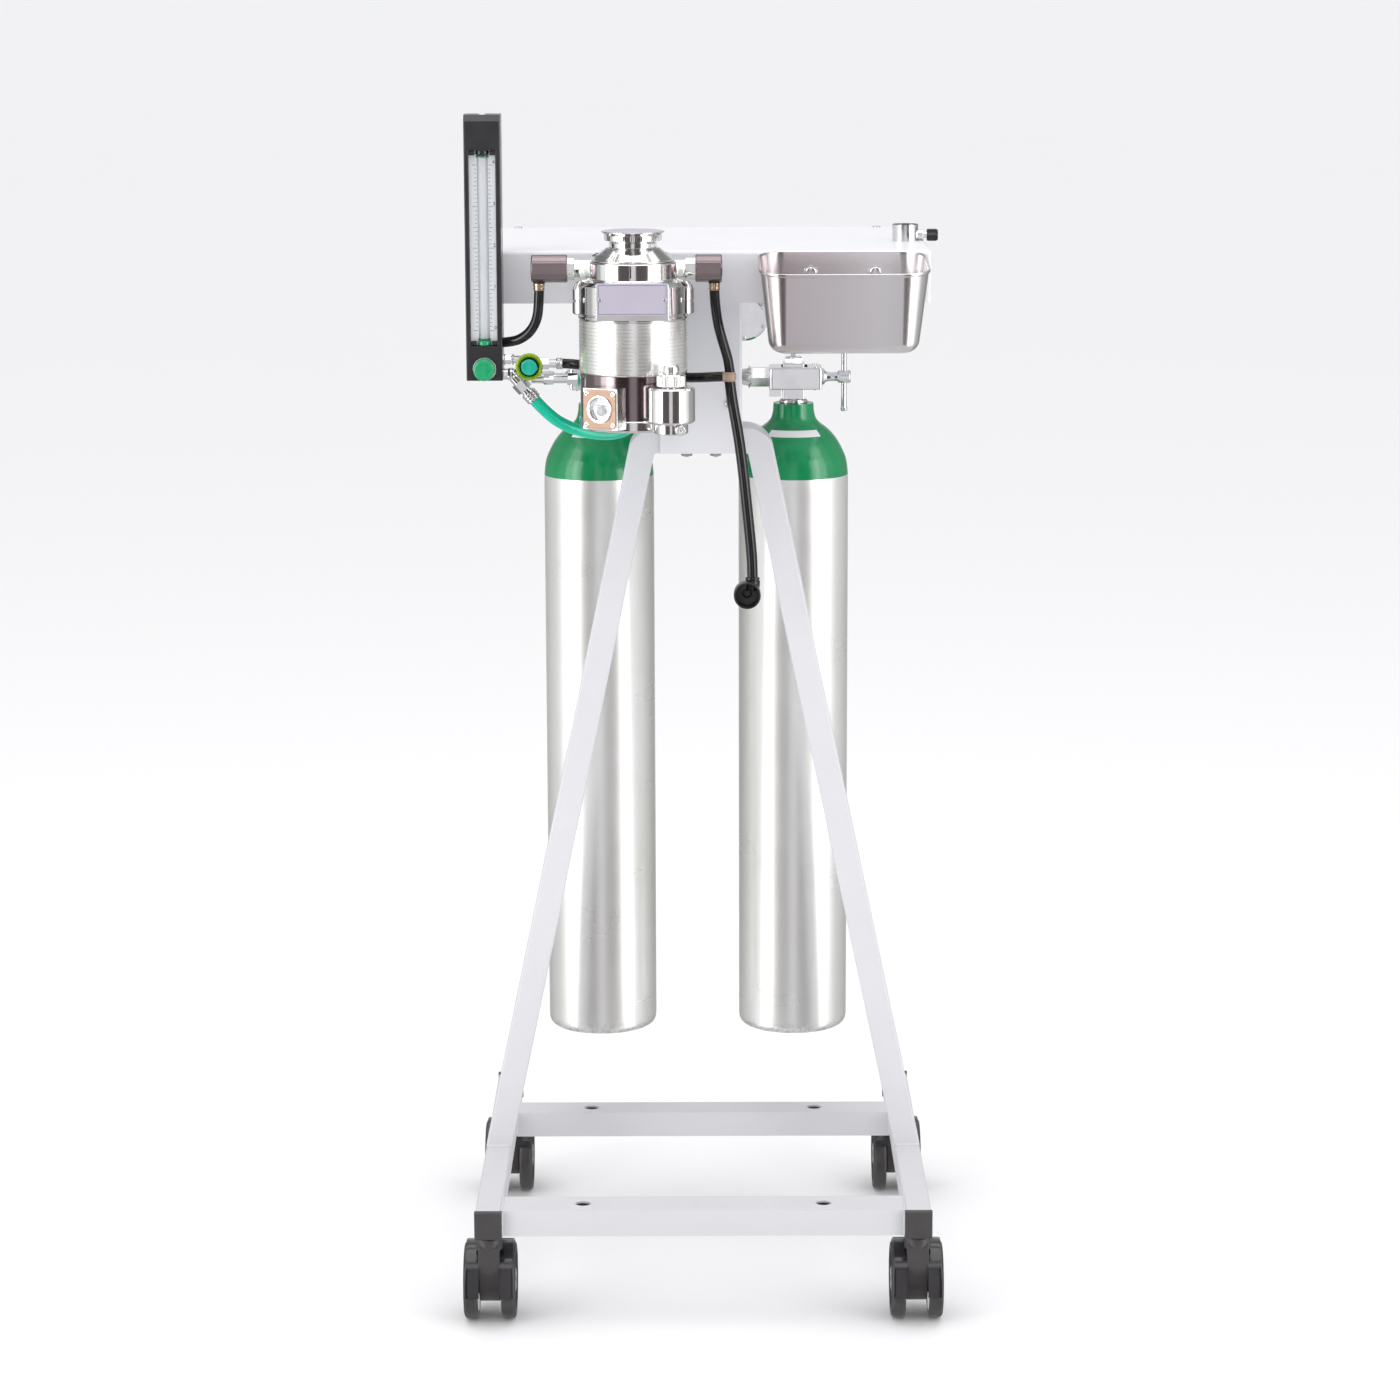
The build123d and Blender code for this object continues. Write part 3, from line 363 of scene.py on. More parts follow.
SURFACES = {
    # The stand and the head wear the same white powder coat. The stand's copy is painted darker: painted
    # shade that takes back the light the floor throws onto the low frame.
    "powder": powder_coat("powder_stand_painted_shade", (0.62, 0.62, 0.65), (0.65, 0.65, 0.675), (0.58, 0.58, 0.60)),
    "head_powder": powder_coat("powder_head", (0.74, 0.74, 0.775), (0.765, 0.765, 0.80), (0.73, 0.73, 0.76)),
    "aluminium": cylinder_aluminium(),
    "shoulder": shoulder_paint(),
    "chrome": chrome_plate("chrome", (0.83, 0.83, 0.84), 0.05, 0.13),
    "satin_chrome": chrome_plate("satin_chrome", (0.76, 0.76, 0.76), 0.16, 0.28),
    "zinc": chrome_plate("zinc", (0.62, 0.62, 0.61), 0.28, 0.42),
    "turned": turned_metal("turned_steel", (0.82, 0.82, 0.81), 0.05, 0.13, 0.004, 0.25),
    "satin_turned": turned_metal("satin_turned", (0.80, 0.80, 0.79), 0.16, 0.26, 0.008, 0.4, lines=1800.0),
    "copper": turned_metal("copper_face", (0.20, 0.135, 0.10), 0.2, 0.3, 0.006, 0.0, lines=900.0),
    "stainless": brushed_stainless(),
    "foil": label_foil(),
    "clear": clear_material("clear_plastic", (0.93, 0.97, 0.96), 0.03),
    "glass": clear_material("glass", (0.97, 0.98, 0.99), 0.01, 1.5),
    "lime": anodised("lime_anodised", (0.36, 0.58, 0.03), (0.46, 0.70, 0.05)),
    "lavender": mottled("lavender_plate", (0.41, 0.38, 0.46), (0.43, 0.40, 0.48), 0.26, 0.34, 900.0, 0.01),
    "dark_turned": turned_metal("dark_turned", (0.27, 0.22, 0.23), 0.08, 0.16, 0.002, 0.2),
    "tube": mottled("flow_tube_acrylic", (0.80, 0.83, 0.86), (0.86, 0.89, 0.92), 0.08, 0.14, 500.0, 0.01,
                    alpha=0.3),
    "black": mottled("black_plastic", (0.012, 0.011, 0.013), (0.019, 0.018, 0.021), 0.15, 0.27, 1400.0, 0.03),
    "cap": mottled("end_cap_plastic", (0.045, 0.040, 0.042), (0.062, 0.055, 0.058), 0.42, 0.58, 900.0, 0.05),
    "gloss_black": mottled("caster_nylon", (0.010, 0.009, 0.011), (0.018, 0.016, 0.019), 0.08, 0.2, 500.0,
                           0.02,
                           coat_weight=0.3, coat_roughness=0.05),
    "tread": mottled("caster_tread", (0.030, 0.028, 0.028), (0.048, 0.044, 0.044), 0.4, 0.6, 700.0, 0.08,
                     patch=60.0),
    "hose": mottled("hose_rubber", (0.007, 0.007, 0.008), (0.013, 0.013, 0.015), 0.10, 0.2, 300.0, 0.04),
    "green_hose": mottled("green_hose_rubber", (0.0, 0.42, 0.26), (0.002, 0.52, 0.33), 0.13, 0.24, 300.0,
                          0.05,
                          subsurface_weight=0.08),
    "rubber": mottled("black_rubber", (0.014, 0.014, 0.014), (0.024, 0.024, 0.024), 0.5, 0.7, 600.0, 0.06),
    "green": mottled("green_knob", (0.0, 0.27, 0.10), (0.002, 0.34, 0.13), 0.12, 0.24, 400.0, 0.03,
                     coat_weight=0.3),
    "teal": mottled("teal_button", (0.0, 0.34, 0.24), (0.003, 0.42, 0.31), 0.12, 0.22, 400.0, 0.03,
                    coat_weight=0.3),
    "white": mottled("white_scale", (0.74, 0.75, 0.78), (0.80, 0.81, 0.83), 0.3, 0.4, 500.0, 0.02),
    "sticker": mottled("paper_sticker", (0.78, 0.80, 0.79), (0.86, 0.87, 0.86), 0.4, 0.5, 900.0, 0.03),
    "tan": mottled("tan_plastic", (0.36, 0.26, 0.19), (0.46, 0.34, 0.26), 0.3, 0.45, 700.0, 0.05),
    "brass": turned_metal("barb_brass", (0.74, 0.55, 0.38), 0.16, 0.28, 0.006, 0.1, lines=1500.0),
    "ink": mottled("ink", (0.012, 0.012, 0.014), (0.022, 0.022, 0.024), 0.4, 0.5, 900.0, 0.01),
    "red": mottled("red_plastic", (0.42, 0.015, 0.012), (0.52, 0.025, 0.018), 0.25, 0.35, 700.0, 0.02),
    "seal": mottled("teal_seal", (0.01, 0.10, 0.07), (0.02, 0.16, 0.11), 0.3, 0.4, 500.0, 0.03),
}
MATERIALS = {name: surface.material for name, surface in SURFACES.items()}

NODE_FINISH = {
    "a_frame": "powder", "side_rails": "powder", "cross_rails": "powder", "column": "head_powder",
    "head_cover": "head_powder", "head_base_plate": "head_powder", "rail_end_caps": "cap",
    "caster_stems": "zinc",
    "vaporizer_bracket": "satin_chrome", "sight_glass_housing": "satin_chrome", "sight_glass_lens": "glass",
    "flowmeter_housing": "black", "flow_scale_plate": "white", "flow_tube": "tube", "flow_float": "green",
    "yokes": "chrome", "yoke_seals": "rubber", "manifold": "satin_chrome", "regulator": "chrome",
    "gauge_case": "chrome", "gauge_pointer": "red", "flush_valve_body": "chrome",
    "supply_fittings": "chrome", "pole_clamp": "satin_chrome",
}
for node_name, finish in NODE_FINISH.items():
    mesh = NODES[node_name].data
    mesh.materials.clear()
    mesh.materials.append(MATERIALS[finish])


# ---------------------------------------------------------------- building pieces

def across(direction):
    """A unit vector square to the given one."""
    helper = Vector(RIGHT) if abs(direction.x) < 0.9 else Vector((0, 1, 0))
    return (helper - direction * helper.dot(direction)).normalized()


def polygon_reach(sides, angle):
    """How far out a polygon with corners at reach 1 is in that direction. Sides of -4 is a plus sign."""
    if sides == -4:
        off_axis = abs((angle + math.pi / 4) % (math.pi / 2) - math.pi / 4)
        arm = 1 / math.cos(off_axis)
        return min(arm, 0.3 / max(math.sin(off_axis), 1e-6))
    step = 2 * math.pi / sides
    return math.cos(step / 2) / math.cos((angle + step / 2) % step - step / 2)


def rounded(profile, radius, steps=3):
    """A profile whose corners are rounded off."""
    result = [profile[0]]
    for before, corner, after in zip(profile, profile[1:], profile[2:]):
        a, b, c = Vector(before[:2]), Vector(corner[:2]), Vector(after[:2])
        reach = min(radius, 0.42 * (b - a).length, 0.42 * (c - b).length)
        if reach < 0.02 or abs((b - a).angle(c - b, 0.0)) < 0.05:
            result.append(corner)
            continue
        start = b + (a - b).normalized() * reach
        stop = b + (c - b).normalized() * reach
        for index in range(steps + 1):
            t = index / steps
            place = start * (1 - t) ** 2 + b * 2 * t * (1 - t) + stop * t * t
            result.append((place.x, place.y, *corner[2:]))
    result.append(profile[-1])
    return result


def flowing(points, steps=5):
    """Points on a smooth Catmull-Rom curve through the given ones."""
    padded = [points[0], *points, points[-1]]
    result = []
    for a, b, c, d in zip(padded, padded[1:], padded[2:], padded[3:]):
        a, b, c, d = Vector(a), Vector(b), Vector(c), Vector(d)
        for index in range(steps):
            t = index / steps
            place = 0.5 * (2 * b + (c - a) * t + (2 * a - 5 * b + 4 * c - d) * t * t
                           + (3 * b - a - 3 * c + d) * t ** 3)
            result.append(tuple(place))
    result.append(tuple(points[-1]))
    return result


class Piece:
    """A mesh built up from simple bodies, then published as one object."""

    def __init__(self, name, *finishes):
        self.name = name
        self.finishes = finishes
        self.mesh = bmesh.new()

    def take(self, part, finish=0):
        """Moves another bmesh's faces into this one."""
        copies = {v: self.mesh.verts.new(v.co) for v in part.verts}
        for face in part.faces:
            new = self.mesh.faces.new([copies[v] for v in face.verts])
            new.material_index = finish
            new.smooth = True
        part.free()

    def lathe(self, profile, base, direction=UP, segments=72, finish=0, finish_at=None, ribs=None):
        """Turns (radius, distance[, sides]) about the axis. ribs is (count, depth, from, to)."""
        direction = Vector(direction).normalized()
        side = across(direction)
        other = direction.cross(side)
        base = Vector(base)
        rings = []
        for point in profile:
            radius, along = point[:2]
            if radius < 1e-6:
                rings.append([self.mesh.verts.new((base + direction * along) * MM)])
                continue
            ring = []
            for index in range(segments):
                angle = 2 * math.pi * index / segments
                reach = radius * (polygon_reach(point[2], angle) if len(point) > 2 else 1)
                if ribs and ribs[2] <= along <= ribs[3]:
                    reach -= ribs[1] * (0.5 - 0.5 * math.cos(ribs[0] * angle))
                place = base + direction * along + (side * math.cos(angle) + other * math.sin(angle)) * reach
                ring.append(self.mesh.verts.new(place * MM))
            rings.append(ring)
        for level, (low, high) in enumerate(zip(rings, rings[1:])):
            material = finish
            if finish_at:
                material = finish_at((profile[level][1] + profile[level + 1][1]) / 2)
            for index in range(segments):
                after = (index + 1) % segments
                if len(low) == 1 and len(high) == 1:
                    continue
                if len(low) == 1:
                    corners = [low[0], high[after], high[index]]
                elif len(high) == 1:
                    corners = [low[index], low[after], high[0]]
                else:
                    corners = [low[index], low[after], high[after], high[index]]
                face = self.mesh.faces.new(corners)
                face.material_index = material
                face.smooth = True
        return self

    def rod(self, base, direction, radius, length, finish=0, edge=0.4, segments=48, sides=0):
        """A round or polygonal rod with softened edges, closed at both ends."""
        if sides:
            part = bmesh.new()
            direction = Vector(direction).normalized()
            turn = direction.to_track_quat("Z", "X").to_matrix().to_4x4()
            centre = (Vector(base) + direction * length / 2) * MM
            bmesh.ops.create_cone(
                part, cap_ends=True, segments=sides, radius1=radius * MM, radius2=radius * MM,
                depth=length * MM, matrix=Matrix.Translation(centre) @ turn,
            )
            bmesh.ops.bevel(part, geom=part.edges[:], offset=edge * MM, segments=2, affect="EDGES",
                            profile=0.6)
            self.take(part, finish)
            return self
        profile = [(0, 0), (radius, 0), (radius, length), (0, length)]
        return self.lathe(rounded(profile, edge), base, direction, segments, finish)

    def block(self, low, high, edge=0.6, finish=0, turn=None, segments=3):
        """A box between two corners, with rounded edges; turn is a matrix that moves it."""
        part = bmesh.new()
        bmesh.ops.create_cube(part, size=1.0)
        low, high = Vector(low), Vector(high)
        for vert in part.verts:
            vert.co = Vector([a + (b - a) * (c + 0.5) for a, b, c in zip(low, high, vert.co)]) * MM
        bmesh.ops.bevel(part, geom=part.edges[:], offset=edge * MM, segments=segments, affect="EDGES",
                        profile=0.5)
        if turn is not None:
            for vert in part.verts:
                vert.co = turn @ vert.co
        self.take(part, finish)
        return self

    def sweep(self, points, radius, finish=0, segments=16, closed=False, ripple=0.0, pitch=3.0):
        """A round bead along points, whose radius may ripple like a weld."""
        points = [Vector(p) for p in points]
        rings = []
        travelled = 0.0
        count = len(points)
        for index, point in enumerate(points):
            before = points[index - 1] if closed or index else point
            after = points[(index + 1) % count] if closed or index + 1 < count else point
            if index:
                travelled += (point - points[index - 1]).length
            along = (after - before).normalized()
            side = across(along)
            other = along.cross(side)
            reach = radius * (1 + ripple * abs(math.sin(math.pi * travelled / pitch)))
            ring = []
            for step in range(segments):
                angle = 2 * math.pi * step / segments
                place = point + (side * math.cos(angle) + other * math.sin(angle)) * reach
                ring.append(self.mesh.verts.new(place * MM))
            rings.append(ring)
        pairs = list(zip(rings, rings[1:]))
        if closed:
            pairs.append((rings[-1], rings[0]))
        for low, high in pairs:
            for step in range(segments):
                after = (step + 1) % segments
                face = self.mesh.faces.new([low[step], low[after], high[after], high[step]])
                face.material_index = finish
                face.smooth = True
        if not closed:
            for ring, order in ((rings[0], -1), (rings[-1], 1)):
                face = self.mesh.faces.new(ring[::order])
                face.material_index = finish
                face.smooth = True
        return self

    def loft(self, rings, finish=0, close_ends=(True, True)):
        """Skins rings of points, given in millimetres, all with the same count."""
        made = [[self.mesh.verts.new(Vector(p) * MM) for p in ring] for ring in rings]
        count = len(made[0])
        for low, high in zip(made, made[1:]):
            for step in range(count):
                after = (step + 1) % count
                face = self.mesh.faces.new([low[step], low[after], high[after], high[step]])
                face.material_index = finish
                face.smooth = True
        for closes, ring in zip(close_ends, (made[0][::-1], made[-1])):
            if closes:
                face = self.mesh.faces.new(ring)
                face.material_index = finish
                face.smooth = True
        return self

    def patch(self, surface, columns, rows, finish=0):
        """An open grid of points surface(i, j), given in millimetres."""
        grid = [[self.mesh.verts.new(Vector(surface(i,
                                                    j)) * MM) for i in range(columns)] for j in range(rows)]
        for j in range(rows - 1):
            for i in range(columns - 1):
                face = self.mesh.faces.new([grid[j][i], grid[j][i + 1], grid[j + 1][i + 1], grid[j + 1][i]])
                face.material_index = finish
                face.smooth = True
        return self

    def screw(self, base, direction, radius, height, finish=0, recess=-4, dark=None):
        """A screw head standing on base, with a cross (-4), hexagonal (6) or no (0) recess."""
        dome = [(radius, 0), (radius, height * 0.35), (radius * 0.86, height * 0.8), (radius * 0.62, height)]
        profile = rounded([(0, -0.2), (radius, -0.2)] + dome, 0.25)
        if recess:
            socket = radius * (0.5 if recess == 6 else 0.52)
            profile += [(socket, height * 0.99, recess), (socket * 0.9, height * 0.35, recess),
                        (0, height * 0.3)]
        else:
            profile.append((0, height * 1.02))
        return self.lathe(profile, base, direction, 48, finish)

    def publish(self, body, slot, *nodes, sharp=34.0):
        """Makes the object, which moves with body and stands for the CAD nodes named."""
        bmesh.ops.remove_doubles(self.mesh, verts=self.mesh.verts[:], dist=1e-7)
        bmesh.ops.recalc_face_normals(self.mesh, faces=self.mesh.faces[:])
        limit = math.radians(sharp)
        for edge in self.mesh.edges:
            edge.smooth = len(edge.link_faces) != 2 or edge.calc_face_angle(0.0) < limit
        data = bpy.data.meshes.new(self.name)
        self.mesh.to_mesh(data)
        self.mesh.free()
        for finish in self.finishes:
            data.materials.append(MATERIALS[finish])
        obj = bpy.data.objects.new(self.name, data)
        bpy.context.scene.collection.objects.link(obj)
        normals = obj.modifiers.new("normals", "WEIGHTED_NORMAL")
        normals.keep_sharp = True
        normals.weight = 60
        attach(obj, body)
        if nodes:
            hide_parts(*nodes)
        return obj

    def number(self, text, size, matrix, finish=0, thickness=0.12):
        """A printed number, size in millimetres, standing on the plane that matrix gives."""
        curve = bpy.data.curves.new("number", "FONT")
        curve.body = text
        curve.size = size * MM
        curve.align_x = "CENTER"
        curve.align_y = "CENTER"
        curve.extrude = thickness * MM / 2
        curve.resolution_u = 2
        holder = bpy.data.objects.new("number", curve)
        data = bpy.data.meshes.new_from_object(holder)
        part = bmesh.new()
        part.from_mesh(data)
        part.transform(matrix)
        self.take(part, finish)
        bpy.data.objects.remove(holder)
        bpy.data.meshes.remove(data)
        return self


def facing_matrix(place, outward, up=UP):
    """A frame at place whose z looks outward and whose y is as near up as it can be."""
    z = Vector(outward).normalized()
    x = Vector(up).cross(z).normalized()
    y = z.cross(x)
    matrix = Matrix((x, y, z)).transposed().to_4x4()
    matrix.translation = Vector(place) * MM
    return matrix


def turned_place(centre, radius, angle, z):
    """A point around an upright axis: angle 0 is the front, and positive angles go to the right."""
    return Vector((centre[0] + radius * math.sin(angle), centre[1] - radius * math.cos(angle), z))


# ---------------------------------------------------------------- stand

TUBE = 25.4
rail_high = box_mm("side_rails")[1]
RAIL_TOP = rail_high.z
RAIL_X = rail_high.x - TUBE / 2
frame_low, frame_high = box_mm("a_frame")

welds = Piece("weld_beads", "powder")
for side in (-1, 1):
    for depth in (frame_low.y, frame_high.y):
        start = side * (RAIL_X - TUBE / 2 + 1.5)
        stop = side * (RAIL_X + TUBE / 2 - 1.5)
        bead = [(start + (stop - start) * t / 40, depth, RAIL_TOP + 0.4) for t in range(41)]
        welds.sweep(bead, 1.7, ripple=0.22, pitch=2.4)
    edge = side * (RAIL_X - TUBE / 2 - 5.0)
    inner = side * (RAIL_X - TUBE / 2)
    low, high = box_mm("cross_rails")
    for middle, width in ((low.y + 22.25, 44.5), (high.y - 19.05, 38.1)):
        for end in (-1, 1):
            y = middle + end * width / 2
            bead = [(inner, y, RAIL_TOP - TUBE + 2 + (TUBE - 4) * t / 40) for t in range(41)]
            welds.sweep(bead, 1.4, ripple=0.22, pitch=2.4)
        bead = [(inner, middle - width / 2 + 1 + (width - 2) * t / 60, RAIL_TOP - 0.2) for t in range(61)]
        welds.sweep(bead, 1.0, ripple=0.25, pitch=2.4)
welds.publish("root", "white_powder_coat")

plugs = Piece("cross_rail_grommets", "powder")
for middle in (low.y + 22.25, high.y - 19.05):
    for side in (-1, 1):
        ring = [(7.25, -2.0), (7.25, 0.2), (8.6, 0.5), (8.9, 0.1), (8.9, -0.3)]
        plugs.lathe(rounded(ring, 0.3), (side * 116.0, middle, RAIL_TOP + 0.1), segments=48)
plugs.publish("root", "white_powder_coat")

for corner, (side, end) in CORNERS.items():
    hub = middle_mm(f"caster_wheels_{corner}")
    stem = Vector((side * RAIL_X, end * 221.0, 0))

    fork = Piece(f"caster_housing_{corner}", "cap", "gloss_black", "zinc")
    hull = []
    for step in range(25):
        angle = math.radians(180 + step * 7.5)
        hull.append((hub.y + end * 20.5 * math.cos(angle), hub.z + 20.5 * math.sin(angle)))
    hull += [(stem.y + end * 12.2, 58.0), (stem.y + end * 12.4, 79.0), (stem.y + end * 8.0, 84.5),
             (stem.y - end * 8.0, 84.5), (stem.y - end * 14.0, 78.0), (hub.y - end * 20.0, 52.0)]
    rings = []
    centre = Vector((sum(p[0] for p in hull) / len(hull), sum(p[1] for p in hull) / len(hull)))
    for x, inset in ((-10.4, 1.4), (-10.0, 0.5), (-9.0, 0.0), (9.0, 0.0), (10.0, 0.5), (10.4, 1.4)):
        ring = []
        for y, z in hull:
            reach = Vector((y, z)) - centre
            reach = reach * (1 - inset / reach.length)
            ring.append((stem.x + x, centre.x + reach.x, centre.y + reach.y))
        rings.append(ring)
    fork.loft(rings)
    fork.lathe(rounded([(0, 76), (12.8, 76), (12.8, 87.2), (11.6, 88.4), (5.2, 88.4), (5.2, 80), (0, 80)],
                       0.5),
               (stem.x, stem.y, 0), segments=56)
    for way in (-1, 1):
        hood = []
        for step in range(41):
            angle = math.radians(-9 + step * (160 / 40))
            y_way = end * math.cos(angle)
            z_way = math.sin(angle)
            thick = 1.9 if 1 < step < 39 else 1.5
            section = [
                (9.8, 38.2), (22.2, 38.2), (22.9, 38.4), (23.2, 38.9), (22.9, 38.1 + thick * 0.85),
                (22.2, 38.1 + thick), (20.0, 38.2 + thick), (12.5, 38.2 + thick), (9.8, 38.1 + thick),
            ]
            hood.append([(stem.x + way * x, hub.y + y_way * r, hub.z + z_way * r) for x, r in section])
        fork.loft(hood, finish=1)
        fork.lathe(rounded([(0, 10.2), (13.0, 10.2), (13.0, 10.8), (0, 10.8)], 0.2),
                   (stem.x, hub.y, hub.z), (way, 0, 0), segments=48, finish=0)
    fork.publish(f"fork_{corner}", "caster_plastic", f"caster_fork_{corner}")

    wheel = Piece(f"caster_twin_wheel_{corner}", "tread", "gloss_black", "zinc")
    for way in (-1, 1):
        tyre = [(30.0, 11.4), (34.6, 11.2), (36.6, 12.0), (37.4, 14.2), (37.5, 17.0), (37.4, 21.0),
                (36.6, 23.4), (34.8, 24.8), (32.0, 25.0), (29.8, 24.6), (29.2, 23.0)]
        wheel.lathe(flowing(tyre, 3), (stem.x, hub.y, hub.z), (way, 0, 0), segments=120, finish=0)
        disc = [(29.3, 23.0), (28.4, 22.6), (27.0, 22.2), (14.0, 21.6), (12.0, 22.4), (11.2, 24.2),
                (10.4, 24.5),
                (4.4, 24.5), (4.0, 24.1), (3.2, 23.9), (0, 23.9)]
        wheel.lathe(rounded(disc, 0.6), (stem.x, hub.y, hub.z), (way, 0, 0), segments=120, finish=1)
        inner = [(30.1, 11.4), (28.0, 11.8), (13.8, 11.8), (13.6, 11.2), (4.0, 11.2)]
        wheel.lathe(rounded(inner, 0.4), (stem.x, hub.y, hub.z), (way, 0, 0), segments=72, finish=1)
        for spoke in range(6):
            angle = 2 * math.pi * spoke / 6
            reach = Vector((0, math.cos(angle), math.sin(angle)))
            start = Vector((stem.x + way * 22.0, hub.y, hub.z)) + reach * 12.5
            wheel.sweep([start + reach * 14.5 * t / 6 for t in range(7)], 1.3, finish=1, segments=12)
    wheel.rod((stem.x - 23.9, hub.y, hub.z), RIGHT, 3.9, 47.8, finish=2)
    wheel.publish(f"wheels_{corner}", "caster_tread", f"caster_wheels_{corner}")

bolts = Piece("frame_bolts_and_washers", "zinc")
for side in (-1, 1):
    place = (side * 14.2, 0)
    bolts.lathe(rounded([(3.0, 0), (7.2, 0), (7.2, -1.2), (3.0, -1.2)], 0.25),
                (*place, frame_high.z - TUBE), segments=48)
    bolts.rod((*place, frame_high.z - TUBE - 1.2), DOWN, 5.6, 4.2, sides=6)
    bolts.lathe([(0, 0), (2.9, 0), (2.9, -6), (2.2, -6.6), (0, -6.6)],
                (*place, frame_high.z - TUBE), segments=32)
    bolts.rod((*place, frame_high.z + 2.6), UP, 5.6, 4.6, sides=6)
    bolts.rod((*place, frame_high.z - TUBE - 1), UP, 2.9, TUBE + 11)
bolts.publish("root", "zinc_steel", "frame_bolts")

# ---------------------------------------------------------------- small screws

SIGHT_ANGLE = math.radians(28.0)
SIGHT_FACE = 65.5
SIGHT_Z = middle_mm("sight_glass_housing").z
vap_axis = middle_mm("vaporizer_dial")
sight_out = Vector((-math.sin(SIGHT_ANGLE), -math.cos(SIGHT_ANGLE), 0))
sight_side = Vector((-sight_out.y, sight_out.x, 0))
sight_middle = Vector((vap_axis.x, vap_axis.y, SIGHT_Z)) + sight_out * SIGHT_FACE
column_low, column_high = box_mm("column")
head_low, head_high = box_mm("head_cover")
TRAY_BACK = head_low.y - 2.0

screws = Piece("panel_screw_heads", "zinc", "chrome")
for side in (-1, 1):
    screws.screw((side * 28, column_low.y, 871), FRONT, 5, 2.8)
    screws.screw((side * 28, column_high.y, 871), BACK, 5, 2.8)
for x, y in ((-187, 216), (181, 216)):
    screws.screw((x, y, head_high.z), UP, 4, 1.4)
TRAY_SCREW_X = (105, 166.5)
TRAY_SCREW_Z = 1003
for x in TRAY_SCREW_X:
    screws.lathe(rounded([(2.4, -0.3), (7.0, -0.3), (7.0, 0.5), (2.4, 0.5)], 0.2),
                 (x, TRAY_BACK - 1.5, TRAY_SCREW_Z), FRONT,
                 finish=1)
    screws.screw((x, TRAY_BACK - 2.0, TRAY_SCREW_Z), FRONT, 5.5, 2.6, finish=1, recess=6)
for level in (-14.5, 14.5):
    for shift in (-14, 14):
        screws.screw(sight_middle + sight_side * shift + Vector((0, 0, level)), sight_out, 2.7, 1.4, finish=1,
                     recess=6)
screws.publish("root", "zinc_steel", "panel_screws")

# ---------------------------------------------------------------- vaporizer

PORT_Y = -121.0
PORT_Z = 1010.0

body = Piece("vaporizer_body_turned", "turned", "foil", "satin_turned", "dark_turned")
shell = [(0, 862), (49.3, 862), (51.3, 864), (51.3, 871.6), (50.3, 873), (50.3, 914.4), (51.0, 915.2),
         (51.3, 916), (51.3, 964.6), (52.0, 966.2), (52.0, 968.4), (51.2, 969.0), (51.2, 970.0), (52.0,
                                                                                                  970.6),
         (52.0, 996.6), (48.6, 1000.6), (43.0, 1001.4), (41.3, 1003.0), (41.3, 1017.3), (40.2, 1018.5), (0,
            1018.5)]
body.lathe(rounded(shell, 0.6), (vap_axis.x, vap_axis.y, 0), segments=192,
           finish_at=lambda z: 1 if 916.2 < z < 964.4 else 3 if 873.2 < z < 915.0 else 0)
body.block((vap_axis.x - 34, vap_axis.y - 53.5, 967), (vap_axis.x + 34, vap_axis.y - 33, 1001), edge=0.8,
           finish=2)
for side in (-1, 1):
    lug = [(0, 969), (8.0, 969), (9.2, 970.2), (9.2, 980.6), (8.6, 981.2), (8.6, 982.0), (9.2, 982.6),
           (9.2, 992.6), (6.2, 998.2), (3.4, 1000), (0, 1000)]
    body.lathe(rounded(lug, 0.4), (vap_axis.x + side * 48, vap_axis.y, 0), segments=56)
for start, length in (((-124), 34), ((-36), 29)):
    body.rod((start, PORT_Y, PORT_Z), RIGHT, 9.4, length, sides=6, edge=0.5)
for start, length in ((-126, 7), (-14.7, 9.7)):
    body.lathe(rounded([(0, 0), (10.9, 0), (10.9, length), (0, length)], 0.6), (start, PORT_Y, PORT_Z), RIGHT,
               segments=72, ribs=(48, 0.35, length * 0.3, length * 0.7))
for screw_angle in (-62, 62):
    place = turned_place(vap_axis, 52.0, math.radians(screw_angle), 984)
    body.screw(place, (place - Vector((vap_axis.x, vap_axis.y, 984))), 2.6, 1.0, recess=6)
body.publish("root", "polished_steel", "vaporizer_body")

index_mark = Piece("vaporizer_index_mark", "ink")
index_mark.block((vap_axis.x - 2.2, vap_axis.y - 41.5, 1005.5),
                 (vap_axis.x - 1.0, vap_axis.y - 41.1, 1016.5), edge=0.1)
index_mark.publish("root", "black_plastic")

